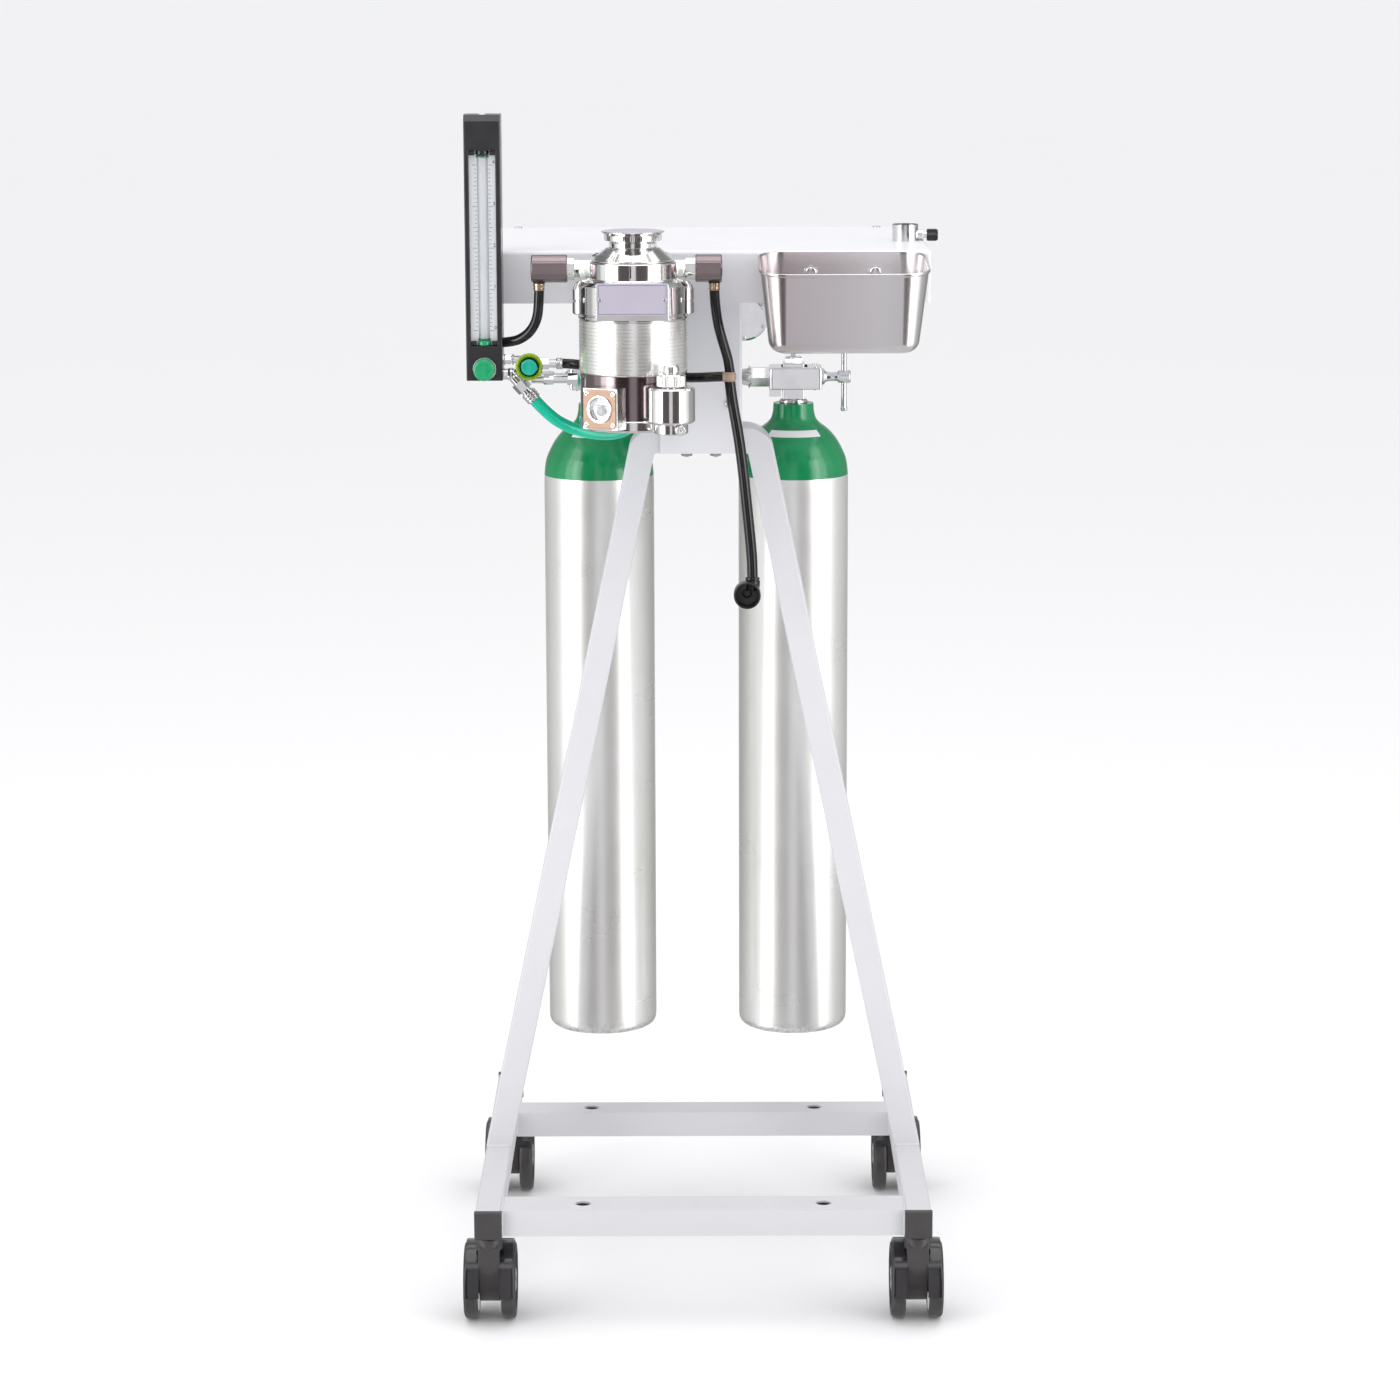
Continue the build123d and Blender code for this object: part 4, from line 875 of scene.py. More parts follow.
dial = Piece("vaporizer_dial_turned", "turned", "lavender", "ink")
cone = [(0, 1012), (8, 1012), (8, 1018.9), (39.5, 1018.9), (39.5, 1019.7), (38, 1020.5), (25, 1031.5),
        (22.4, 1031.8), (22.4, 1036.2), (21.4, 1036.6), (21.4, 1037.8), (27, 1038.2), (27.4, 1043.5),
        (29.8, 1045.6), (29.8, 1046.6), (28.4, 1047.0)]
dial.lathe(rounded(cone, 0.5), (vap_axis.x, vap_axis.y, 0), segments=192, ribs=(72, 0.3, 1038.6, 1043.2))
dial.lathe(rounded([(28.4, 1047.0), (27.6, 1047.2), (3.0, 1047.2), (2.6, 1046.8), (0, 1046.8)], 0.2),
           (vap_axis.x, vap_axis.y, 0), segments=120, finish=1)
for tick in range(49):
    angle = math.radians(-2 - tick * 5)
    long_tick = tick % 6 == 0
    outward = turned_place((0, 0), 1.0, angle, 0)
    slope = Vector((-outward.x * 14.4, -outward.y * 14.4, 7.8)).normalized()
    normal = Vector((outward.x * 7.8, outward.y * 7.8, 14.4)).normalized()
    start = turned_place(vap_axis, 38.4, angle, 1023.6) + normal * 0.04
    side = slope.cross(normal)
    reach = 5.6 if long_tick else 3.2
    half = 0.32 if long_tick else 0.2
    corners = [start - side * half, start + side * half, start + side * half + slope * reach,
               start - side * half + slope * reach]
    lifted = [corner + normal * 0.12 for corner in corners]
    dial.loft([[c - normal * 0.2 for c in corners], lifted], finish=2)
    if long_tick:
        place = start + slope * 9.0
        dial.number(str(tick // 6), 5.2, facing_matrix(place, normal, slope), finish=2)
dial.publish("dial", "polished_steel", "vaporizer_dial")

plate = Piece("vaporizer_label_plate", "lavender", "zinc", "ink")
plate_low, plate_high = box_mm("vaporizer_plate")
face_y = vap_axis.y - 55.0
plate.block((plate_low.x, face_y, plate_low.z), (plate_high.x, face_y + 1.5, plate_high.z), edge=0.35)
for side in (-1, 1):
    plate.screw((vap_axis.x + side * 30, face_y, 987), FRONT, 1.9, 1.0, finish=1, recess=0)
border = [(-31.4, 973.6), (31.4, 973.6), (31.4, 1000.4), (-31.4, 1000.4)]
for (x0, z0), (x1, z1) in zip(border, border[1:] + border[:1]):
    low = (vap_axis.x + min(x0, x1) - 0.15, face_y - 0.12, min(z0, z1) - 0.15)
    high = (vap_axis.x + max(x0, x1) + 0.15, face_y + 0.3, max(z0, z1) + 0.15)
    plate.block(low, high, edge=0.04, finish=2)
plate.publish("root", "lavender_plate", "vaporizer_plate")

sight = Piece("sight_glass_window", "copper", "chrome", "glass", "ink", "white")


def on_sight_face(x, z, out=0.0):
    return sight_middle + sight_side * x + Vector((0, 0, z)) + sight_out * out


face_ring = []
for shape_step in range(96):
    angle = 2 * math.pi * shape_step / 96
    face_ring.append(angle)


def square_reach(angle, half_x, half_z, corner_radius):
    """The reach of a rounded rectangle in that direction."""
    power = 9.0
    c, s = abs(math.cos(angle)) / half_x, abs(math.sin(angle)) / half_z
    return (c ** power + s ** power) ** (-1 / power)


rings = []
for scale, out in ((1.0, -0.3), (1.0, 0.5), (0.985, 0.75)):
    rings.append([on_sight_face(square_reach(a, 17.4, 18.6, 1) * scale * math.cos(a),
                                square_reach(a, 17.4, 18.6,
                                             1) * scale * math.sin(a), out) for a in face_ring])
rings.append([on_sight_face(13.4 * math.cos(a), 13.4 * math.sin(a), 0.75) for a in face_ring])
rings.append([on_sight_face(13.4 * math.cos(a), 13.4 * math.sin(a), -0.3) for a in face_ring])
sight.loft(rings, close_ends=(False, False))
bezel = [(10.8, -1.5), (13.3, -1.5), (13.3, 1.6), (12.6, 2.3), (11.6, 2.3), (10.8, 1.2)]
sight.lathe(rounded(bezel, 0.3) + [(10.8, -1.5)], sight_middle, sight_out, segments=96, finish=1)
sight.lathe(rounded([(0, -1.2), (10.9, -1.2), (10.9, 0.2), (0, 0.5)], 0.3), sight_middle, sight_out,
            segments=72,
            finish=2)
for level in (-4.5, 3.0):
    sight.block((-5, -0.3, -0.2), (5, 0.3, 0.2), edge=0.1, finish=3,
                turn=facing_matrix(sight_middle + Vector((0, 0, level)) - sight_out * 4.4, sight_out))
sight.lathe(rounded([(0, 0), (3.6, 0.4), (4.6, 2.4), (3.6, 4.6), (0, 5.2)], 0.8),
            sight_middle - sight_out * 5.4 + Vector((0, 0, -2.0)), sight_out, segments=40, finish=4)
sight.publish("root", "polished_steel")

filler_axis = middle_mm("filler_cap")
filler = Piece("filler_block_turned", "turned", "satin_turned")
FILLER_PROFILE = [(0, 863), (15, 863), (16, 864), (16, 872.3), (20.8, 873.4), (22.5, 875.2), (22.5, 904.6),
                  (21.3, 906.6), (14.6, 906.6), (14.2, 906.0), (6.2, 906.0), (6.2, 898), (0, 898)]
filler.lathe(rounded(FILLER_PROFILE, 0.5), (filler_axis.x, filler_axis.y, 0), segments=144)
BRIDGE_TOP = 898
filler.block((filler_axis.x - 19, filler_axis.y + 6, 866),
             (filler_axis.x + 8, filler_axis.y + 22, BRIDGE_TOP),
             edge=1.2, finish=1)
filler.publish("root", "polished_steel", "filler_block")

cap = Piece("filler_cap_knurled", "turned", "satin_turned")
cap_profile = [(0, 898.5), (5.9, 898.5), (5.9, 907), (13.2, 907), (14, 907.8), (14, 917.4), (12.6, 919),
               (8.2, 919.6), (7.5, 920.2), (7.5, 925.6), (6.4, 926.9), (3.4, 926.9), (3.0, 925.8), (0, 925.8)]
cap.lathe(rounded(cap_profile, 0.5), (filler_axis.x, filler_axis.y, 0), segments=216,
          ribs=(54, 0.45, 908.2, 917.0))
cap.lathe(rounded([(7.0, 921.0), (7.9, 921.2), (7.9, 924.4), (7.0, 924.6)], 0.2),
          (filler_axis.x, filler_axis.y, 0), segments=120, ribs=(30, 0.3, 921.4, 924.2), finish=1)
cap.publish("filler_cap", "polished_steel", "filler_cap")

drain = Piece("drain_thumbscrew", "turned")
drain_middle = middle_mm("drain_screw")
drain.lathe(rounded([(0, -10.8), (2.4, -10.8), (2.4, 1.6), (4.3, 1.6), (4.8, 2.1), (4.8, 6.9), (4.2, 7.5),
                     (1.6, 7.5), (1.4, 6.4), (0, 6.4)], 0.3), (drain_middle.x, filler_axis.y - 14,
                                                               drain_middle.z),
            FRONT, segments=120, ribs=(30, 0.35, 2.4, 6.6))
drain.publish("drain_screw", "polished_steel", "drain_screw")

# ---------------------------------------------------------------- elbows and barbs

elbows = Piece("port_elbows_moulded", "dark_turned", "satin_chrome", "rubber")
barbs = Piece("hose_barb_collars", "brass", "tan", "satin_chrome")
for start, stop, barb_x, outer in ((-160.0, -126.0, -152.8, -1), (-5.0, 20.0, 12.9, 1)):
    length = stop - start
    profile = [(0, 0), (12.4, 0), (13.2, 0.8), (13.2, length - 0.8), (12.4, length), (0, length)]
    elbows.lathe(rounded(profile, 0.4), (start, PORT_Y, PORT_Z), RIGHT, segments=96)
    mouth = stop if outer < 0 else start
    elbows.lathe(rounded([(9.5, -0.4), (12.0, -0.4), (12.0, 0.6), (9.5, 0.6)], 0.2), (mouth, PORT_Y, PORT_Z),
                 (-outer, 0, 0), segments=72, finish=1)
    blind = start if outer < 0 else stop
    elbows.lathe(rounded([(0, 0), (7.5, 0), (7.5, 0.35), (6.9, 0.5), (0, 0.5)], 0.15),
                 (blind, PORT_Y, PORT_Z),
                 (outer, 0, 0), segments=64, finish=0)
    elbows.lathe(rounded([(0, 999.0), (6.4, 999.0), (6.6, 998.0), (6.4, 996.6), (0, 996.6)], 0.3),
                 (barb_x, PORT_Y, 0), segments=48, finish=2)
    ridge = [(0, 984.5), (3.4, 984.5), (4.4, 986.6), (3.7, 986.8), (4.6, 989.2), (5.3, 989.8), (5.6, 991.2),
             (5.2, 992.0), (5.2, 993.0), (5.6, 993.6), (5.6, 995.6), (5.2, 996.5), (4.4, 996.8), (4.4,
            1003), (0, 1003)]
    barbs.lathe(rounded(ridge, 0.25), (barb_x, PORT_Y, 0), segments=56)
elbows.publish("root", "black_plastic", "port_elbows")
barbs.publish("root", "brass", "hose_barbs")

# ---------------------------------------------------------------- flowmeter

meter_low, meter_high = box_mm("flowmeter_housing")
meter_x = (meter_low.x + meter_high.x) / 2
window_low, window_high = box_mm("flow_scale_plate")
TUBE_Y = -115.5

scale = Piece("flow_scale_graduations", "ink")
SCALE_FROM = 951.0
SCALE_STEP = 3.9
for step in range(41):
    z = SCALE_FROM + step * SCALE_STEP
    long_tick = step % 10 == 0
    middle_tick = step % 5 == 0
    reach = 4.4 if long_tick else 3.2 if middle_tick else 2.0
    for side in (-1, 1):
        inner = meter_x + side * 5.6
        outer = inner + side * reach
        scale.block((min(inner, outer), TUBE_Y - 0.12, z - 0.18), (max(inner, outer), TUBE_Y + 0.1, z + 0.18),
                    edge=0.03, segments=1)
    if long_tick:
        scale.number(str(step // 10), 5.0, facing_matrix((meter_x + 10.6, TUBE_Y - 0.06, z + 2.6), FRONT))
scale.publish("root", "white_plastic")

trim = Piece("flowmeter_trim", "black", "seal", "satin_chrome", "green", "rubber")
for z, way in ((window_low.z, 1), (window_high.z, -1)):
    for side in (-1, 1):
        x0, x1 = sorted((meter_x + side * 12.6, meter_x + side * 7.0))
        z0, z1 = sorted((z + way * 0.2, z + way * 4.5))
        trim.block((x0, TUBE_Y - 5.5, z0), (x1, TUBE_Y - 0.2, z1), edge=0.8)
    trim.lathe(rounded([(0, 0), (6.2, 0), (6.2, 3.4), (5.2, 4.6), (0, 4.6)], 0.5),
               (meter_x, TUBE_Y - 0.2, z + way * 0.2), (0, 0, way), segments=48, finish=3 if way > 0 else 0)
    trim.lathe(rounded([(5.1, 0), (5.9, 0), (5.9, 1.6), (5.1, 1.6)], 0.3),
               (meter_x, TUBE_Y - 0.2, z + way * 4.9), (0, 0, way), segments=48, finish=1)
for side in (-1, 1):
    edge_x = meter_x + side * 13.0
    trim.sweep([(edge_x, meter_low.y + 0.1, window_low.z + (window_high.z - window_low.z) * t / 10)
                for t in range(11)], 0.55, segments=10)
trim.lathe(rounded([(2.9, -4.0), (2.9, 0.4), (4.4, 0.5), (4.8, 0.0)], 0.2), (meter_x, -106, meter_high.z), UP,
           segments=40, finish=2)
trim.lathe(rounded([(3.2, -0.2), (11.0, -0.2), (11.0, 0.35), (3.2, 0.35)], 0.15),
           (meter_x, meter_low.y, 915), FRONT, segments=72, finish=2)
trim.publish("root", "black_plastic")

knob = Piece("flow_knob_ribbed", "green", "satin_chrome")
knob_profile = [(0, -9.8), (2.9, -9.8), (2.9, 0.5), (9.4, 0.5), (10.3, 1.3), (10.3, 9.8), (9.6, 11.2),
                (8.4, 11.9),
                (6.4, 11.9), (6.0, 11.2), (0, 11.0)]
knob.lathe(rounded(knob_profile, 0.5), (meter_x, meter_low.y, 915), FRONT, segments=240,
           ribs=(30, 0.7, 1.6, 9.4))
knob.publish("knob", "green_plastic", "flow_knob")

# ---------------------------------------------------------------- flush valve and supply line

FLUSH = Vector((-163.0, -119.0, 917.0))
bezel = Piece("flush_bezel_anodised", "lime", "ink")
bezel.lathe(rounded([(9.45, 0), (12.2, 0), (12.8, 0.7), (12.8, 4.2), (12.2, 5), (10.6, 5), (10.3, 4.2),
                     (9.45, 4.2),
                     (9.45, 0)], 0.35), FLUSH, FRONT, segments=144, ribs=(48, 0.25, 1.0, 4.0))
bezel.lathe(rounded([(7.9, 0.4), (9.4, 0.4), (9.4, 0.9), (7.9, 0.9)], 0.1), FLUSH, FRONT, segments=64,
            finish=1)
bezel.publish("root", "lime_anodised", "flush_bezel")

button = Piece("flush_button_moulded", "teal", "satin_chrome")
button.lathe(rounded([(0, -14.8), (2.9, -14.8), (2.9, 2.4), (7.1, 2.4), (7.6, 2.9), (7.6, 6.6), (6.9, 7.5),
                      (5.6, 7.5),
                      (3.2, 7.0), (0, 6.9)], 0.4), FLUSH, FRONT, segments=96)
button.publish("button", "teal_plastic", "flush_button")

fittings = Piece("supply_line_fittings", "satin_chrome", "brass", "rubber")
meter_right = meter_high.x
for x in (meter_right + 0.6, meter_right + 8.6):
    fittings.lathe(rounded([(3.7, 0), (5.2, 0), (5.2, 1.4), (3.7, 1.4)], 0.3), (x, -105, 922.5), RIGHT,
                   segments=48)
for x, z in ((-137.6, 918.5),):
    fittings.lathe(rounded([(3.2, 0), (5.4, 0), (5.7, 1.0), (5.3, 2.2), (5.3, 3.4), (5.7, 4.6), (5.3, 5.6),
                            (4.8, 5.9)],
                           0.3), (x, -105, z), RIGHT, segments=56)
green_route = [Vector(p) for p in HOSES["oxygen_supply_hose"][3]]
slant = (green_route[1] - green_route[0]).normalized()
for back, radius in ((8.5, 7.3), (5.5, 7.3), (2.5, 7.3)):
    fittings.lathe(rounded([(6.0, 0), (radius, 0), (radius + 0.15, 0.9), (radius, 1.8), (6.0, 1.8)], 0.4),
                   green_route[0] - slant * back, slant, segments=64)
upright = green_route[-1]
for rise in (0.6, 3.6, 6.4):
    fittings.lathe(rounded([(6.0, 0), (7.3, 0), (7.45, 0.9), (7.3, 1.8), (6.0, 1.8)], 0.4),
                   upright + Vector((0, 0, rise)),
                   UP, segments=64)
fittings.publish("root", "chrome")

# ---------------------------------------------------------------- tray

TRAY_X = 134.0
TRAY_WIDTH, TRAY_DEPTH, TRAY_HEIGHT = 158.0, 110.0, 79.5
TRAY_LEAN = math.radians(6.8)
TRAY_WALL = 1.2
tray_origin = Vector((TRAY_X, TRAY_BACK, 1023.6))
tray_y = Vector((0, math.cos(TRAY_LEAN), math.sin(TRAY_LEAN)))
tray_z = Vector((0, -math.sin(TRAY_LEAN), math.cos(TRAY_LEAN)))


def tray_ring(inset, depth, corner_steps=12, side_steps=6):
    """A rounded rectangle around the pan at that depth below its rim, moved in from the outside by inset."""
    taper = depth * math.tan(TRAY_LEAN)
    half_x = TRAY_WIDTH / 2 - taper - inset
    half_y = TRAY_DEPTH / 2 - taper - inset
    radius = max(3.0, min(16.0 + (TRAY_HEIGHT - depth) * math.tan(TRAY_LEAN) - inset, half_x - 1, half_y - 1))
    points = []
    for quarter, (sx, sy) in enumerate(((1, 1), (-1, 1), (-1, -1), (1, -1))):
        centre = (sx * (half_x - radius), sy * (half_y - radius))
        for step in range(corner_steps + 1):
            angle = math.pi / 2 * (quarter + step / corner_steps)
            points.append((centre[0] + radius * math.cos(angle), centre[1] + radius * math.sin(angle)))
        following = ((-1, 1), (-1, -1), (1, -1), (1, 1))[quarter]
        after = (following[0] * (half_x - radius), following[1] * (half_y - radius))
        start = points[-1]
        turn = math.pi / 2 * (quarter + 1)
        stop = (after[0] + radius * math.cos(turn), after[1] + radius * math.sin(turn))
        for step in range(1, side_steps):
            t = step / side_steps
            points.append((start[0] + (stop[0] - start[0]) * t, start[1] + (stop[1] - start[1]) * t))
    return [tray_origin + Vector((x, 0, 0)) + tray_y * (y - TRAY_DEPTH / 2) - tray_z * depth for x,
            y in points]


outside = []
BOTTOM_ROUND = 11.0
for step in range(9):
    angle = math.pi / 2 * step / 8
    outside.append((BOTTOM_ROUND * (1 - math.cos(angle)), TRAY_HEIGHT - BOTTOM_ROUND * (1 - math.sin(angle))))
walls = [(0.0, 3.4 + (TRAY_HEIGHT - BOTTOM_ROUND - 3.4) * t / 10) for t in range(10)]
outer_path = walls + outside + [(18.0, TRAY_HEIGHT), (28.0, TRAY_HEIGHT), (38.0, TRAY_HEIGHT),
                                (43.0, TRAY_HEIGHT)]
inner_path = []
for inset, depth in reversed(outer_path):
    inner_path.append((inset + TRAY_WALL, depth - TRAY_WALL if depth > TRAY_HEIGHT - BOTTOM_ROUND else depth))
inner_path = [(inset, min(depth, TRAY_HEIGHT - TRAY_WALL)) for inset, depth in inner_path]
rim = [(1.2, 2.2), (1.1, 1.2), (0.7, 0.5), (0.0, 0.1), (-0.7, 0.1), (-1.2, 0.6), (-1.4, 1.4), (-1.4, 2.4),
       (-1.1, 3.2), (-0.5, 3.6), (0.0, 3.5)]
tray = Piece("instrument_tray_pan", "stainless")
tray_path = inner_path + rim
tray.loft([tray_ring(inset, depth) for inset, depth in reversed(tray_path)], close_ends=(False, True))
tray.loft([tray_ring(inset, depth) for inset, depth in [(0.0, 3.5)] + outer_path[1:]],
          close_ends=(False, True))
tray.publish("root", "stainless", "tray", sharp=50.0)

# ---------------------------------------------------------------- gas cylinders, valves and yokes

CYL_X = 98.5
CYL_SHIFT = -5.0  # the pair of cylinders hangs this far off the middle
CYL_Y = 117.0
YOKE_Z = 881
PAINT_LINE = 783.0
SHOULDER = [(55.6, 768), (55.35, 783), (53.4, 798), (48.7, 809.5), (43.4, 818.8), (37, 826.6), (31, 831.6),
            (26, 835.4), (22.6, 839.6), (20.8, 846), (20.4, 850)]
shoulder_line = flowing(SHOULDER, 4)

for side_name, side in (("left", -1), ("right", 1)):
    axis = (CYL_SHIFT + side * CYL_X, CYL_Y, 0)
    gas = Piece(f"gas_cylinder_{side_name}", "aluminium", "shoulder", "satin_chrome", "sticker", "rubber")
    foot = [(0, 214), (26, 213), (38, 209.4), (42, 208.2), (46.6, 208.1), (50.6, 209.2), (53.6, 211.8),
            (55.1, 215.2),
            (55.6, 219)]
    lower = [p for p in shoulder_line if p[1] < PAINT_LINE - 0.4]
    upper = [p for p in shoulder_line if p[1] > PAINT_LINE + 0.4]
    body_profile = flowing(foot, 3)[:-1] + [(55.6, 219 + 549 * t / 12) for t in range(12)] + lower
    line_radius = 55.35
    body_profile += [(line_radius, PAINT_LINE)]
    gas.lathe(body_profile, axis, segments=160)
    painted = [(line_radius - 0.1, PAINT_LINE - 0.1), (line_radius + 0.16, PAINT_LINE + 0.1)]
    painted += [(radius + 0.14, z) for radius, z in upper] + [(20.2, 855), (0, 855)]
    gas.lathe(painted, axis, segments=160, finish=1)
    collar = [(13.4, 855.1), (14.2, 855.3), (14.2, 857.8), (13.4, 858.2)]
    gas.lathe(rounded(collar, 0.2), axis, segments=96, finish=2)

    def sticker_point(i, j, axis=axis):
        angle = math.radians(-42 + 84 * i / 28)
        t = j / 6
        radius = 39.6 + (33.2 - 39.6) * t
        z = 824.0 + (830.2 - 824.0) * t + 0.35 * math.sin(math.pi * t)
        return turned_place(axis, radius + 0.35, angle, z)

    gas.patch(sticker_point, 29, 7, finish=3)
    for mark in range(15):
        if mark in (4, 9):
            continue
        angle = math.radians(-33 + mark * 4.6)
        place = turned_place(axis, 50.9, angle, 804.6)
        outward = turned_place((0, 0), 1.0, angle, 0)
        matrix = facing_matrix(place, outward + Vector((0, 0, 0.42)))
        gas.block((-0.5, -1.9, -0.3), (0.5, 1.9, 0.35), edge=0.12, finish=1, turn=matrix, segments=1)
    gas.publish("root", "cylinder_aluminium", "oxygen_cylinders")

    valve = Piece(f"cylinder_post_valve_{side_name}", "chrome", "satin_chrome", "ink", "rubber")
    x = axis[0]
    valve.lathe(rounded([(0, 855), (13.2, 855), (13.2, 858.6), (12, 859.4), (0, 859.4)], 0.4), (x, CYL_Y, 0))
    valve.block((x - 11, CYL_Y - 12.5, 858.6), (x + 11, CYL_Y + 12.5, 896), edge=1.6)
    valve.rod((x, CYL_Y, 895.8), UP, 9.8, 4.4, sides=6, edge=0.5, finish=1)
    valve.lathe(rounded([(4.1, 900), (8.4, 900), (7.4, 901.8), (4.1, 901.8)], 0.3), (x, CYL_Y, 0),
                segments=56)
    for pin in (-1, 1):
        place = (x - side * 11, CYL_Y + pin * 5.5, 868.5)
        valve.lathe([(2.2, 0), (1.9, 0.12), (0, 0.14)], place, (-side, 0, 0), segments=24, finish=2)
    valve.publish("root", "chrome", "cylinder_valves")

    stem = Piece(f"valve_stem_square_{side_name}", "satin_chrome")
    stem.rod((x, CYL_Y, 888), UP, 3.9, 13.6, edge=0.3)
    stem.block((x - 2.7, CYL_Y - 2.7, 901), (x + 2.7, CYL_Y + 2.7, 906.6), edge=0.5)
    stem.publish(f"valve_stem_{side_name}", "chrome", f"valve_stem_{side_name}")

    tee_bar = (0, 1, 0) if side < 0 else (0, 0, 1)
    screw_name = f"yoke_screw_{side_name}"
    yoke_screw = Piece(f"yoke_tee_screw_{side_name}", "chrome", "satin_chrome")
    threads = [(0, 0), (3.0, 0), (4.2, 1.4)]
    for turn_index in range(11):
        along = 2.2 + turn_index * 1.4
        threads += [(4.4, along), (4.95, along + 0.7)]
    threads += [(4.5, 17.8), (6.6, 18.2), (6.8, 19.0), (6.6, 20.2), (5.0, 22.0), (4.6, 26.0), (4.5, 30.0),
                (4.8, 33.2),
                (6.3, 34.2), (6.6, 35.0), (6.6, 45.0), (5.6, 46.3), (0, 46.5)]
    yoke_screw.lathe(rounded(threads, 0.25, 2), (CYL_SHIFT + side * 109.8, CYL_Y, YOKE_Z), (side, 0, 0),
                     segments=56)
    bar_middle = Vector((CYL_SHIFT + side * 149.5, CYL_Y, YOKE_Z))
    handle = [(0, -35), (2.4, -34.8), (3.3, -33.6), (3.4, -31.6), (2.9, -30.2), (2.75, -20), (2.75, 20),
              (2.9, 30.2),
              (3.4, 31.6), (3.3, 33.6), (2.4, 34.8), (0, 35)]
    yoke_screw.lathe(rounded(handle, 0.4), bar_middle, tee_bar, segments=40)
    yoke_screw.publish(screw_name, "chrome", screw_name)

yoke_details = Piece("yoke_pins_and_nuts", "satin_chrome", "chrome")
for side in (-1, 1):
    for end in (-1, 1):
        yoke_details.rod((CYL_SHIFT + side * 120, CYL_Y + end * 17, 869.2), UP, 2.2, 23.6, edge=0.3)
    yoke_details.lathe(rounded([(5.2, 0), (8.2, 0), (8.2, 2.4), (7.4, 3.0), (5.2, 3.0)], 0.3),
                       (CYL_SHIFT + side * 126.8, CYL_Y, YOKE_Z), (side, 0, 0), segments=64)
    yoke_details.lathe(rounded([(10.0, 0), (11.4, 0), (11.4, 1.6), (10.0, 1.6)], 0.3),
                       (CYL_SHIFT + side * 53.0, CYL_Y, YOKE_Z), (side, 0, 0), segments=64)
yoke_details.publish("root", "chrome")

# ---------------------------------------------------------------- gauge and regulator details

gauge = middle_mm("gauge_case")
face = Piece("gauge_dial_face", "white", "ink", "red", "glass", "chrome")
face.lathe(rounded([(1.3, 0), (19.4, 0), (19.4, 0.4), (1.3, 0.4)], 0.1), (gauge.x, 114.0, gauge.z), BACK,
           segments=96)
for tick in range(41):
    angle = math.radians(-135 + tick * 270 / 40)
    reach = 2.8 if tick % 5 == 0 else 1.6
    along = Vector((-math.sin(angle), 0, math.cos(angle)))
    start = Vector((gauge.x, 114.45, gauge.z)) + along * 17.4
    matrix = facing_matrix(start, BACK, along)
    face.block((-0.2, -reach, -0.1), (0.2, 0, 0.12), edge=0.03, turn=matrix, finish=1 if tick < 34 else 2,
               segments=1)
    if tick % 10 == 0:
        place = Vector((gauge.x, 114.45, gauge.z)) + along * 12.4
        face.number(str(tick // 10), 3.6, facing_matrix(place, BACK), finish=1)
face.lathe(rounded([(0, 0), (20.4, 0), (20.4, 0.9), (17.0, 1.3), (0, 1.6)], 0.2), (gauge.x, 116.6, gauge.z),
           BACK,
           segments=72, finish=3)
face.lathe(rounded([(19.6, 0), (22.2, 0), (22.2, 1.2), (21.4, 1.9), (19.9, 1.9), (19.6, 1.2)], 0.25),
           (gauge.x, 116.0, gauge.z), BACK, segments=96, finish=4)
face.publish("root", "white_plastic")

trim_ring = Piece("regulator_trim", "satin_chrome", "chrome")
trim_ring.lathe(rounded([(24.6, 66), (25.6, 66.4), (25.6, 71.6), (24.6, 72)], 0.2), (gauge.x, 0, gauge.z),
                BACK,
                segments=180, ribs=(60, 0.4, 66.6, 71.4))
for step in range(6):
    angle = 2 * math.pi * (step + 0.5) / 6
    place = Vector((gauge.x + 21.3 * math.cos(angle), 60.2, gauge.z + 21.3 * math.sin(angle)))
    trim_ring.screw(place, FRONT, 1.9, 1.2, recess=6)
trim_ring.publish("root", "chrome")

# ---------------------------------------------------------------- pole clamp

clamp_high = box_mm("pole_clamp")[1]
CLAMP = Vector((201.0, 33.4, 1029.5))
clamp_knob = Piece("clamp_screw_lobed_knob", "black", "chrome")
clamp_knob.rod((CLAMP.x + 10.7, CLAMP.y, CLAMP.z), RIGHT, 2.9, 12.4, finish=1, edge=0.3)
lobes = [(0, 21.0), (5.4, 21.0), (6.3, 21.8), (6.5, 23.0), (6.5, 29.4), (6.1, 31.0), (5.0, 31.9),
         (3.0, 32.0), (2.6, 31.2),
         (0, 31.2)]
clamp_knob.lathe(rounded(lobes, 0.5), (CLAMP.x, CLAMP.y, CLAMP.z), RIGHT, segments=144,
                 ribs=(6, 1.7, 21.6, 31.4))
clamp_knob.publish("clamp_screw", "black_plastic", "clamp_screw")
clamp_ring = Piece("pole_clamp_bushing", "rubber", "chrome")
clamp_ring.lathe(rounded([(10.25, 0), (12.4, 0), (12.6, 0.6), (12.6, 1.2), (10.25, 1.2)], 0.2),
                 (CLAMP.x, CLAMP.y, clamp_high.z - 1.1), UP, segments=96, finish=0)
clamp_ring.lathe(rounded([(3.2, 0), (5.6, 0), (5.6, 1.6), (3.2, 1.6)], 0.3),
                 (CLAMP.x + 16, CLAMP.y, CLAMP.z), RIGHT,
                 segments=48, finish=1)
clamp_ring.publish("root", "chrome")

# ---------------------------------------------------------------- hose ends and hoses

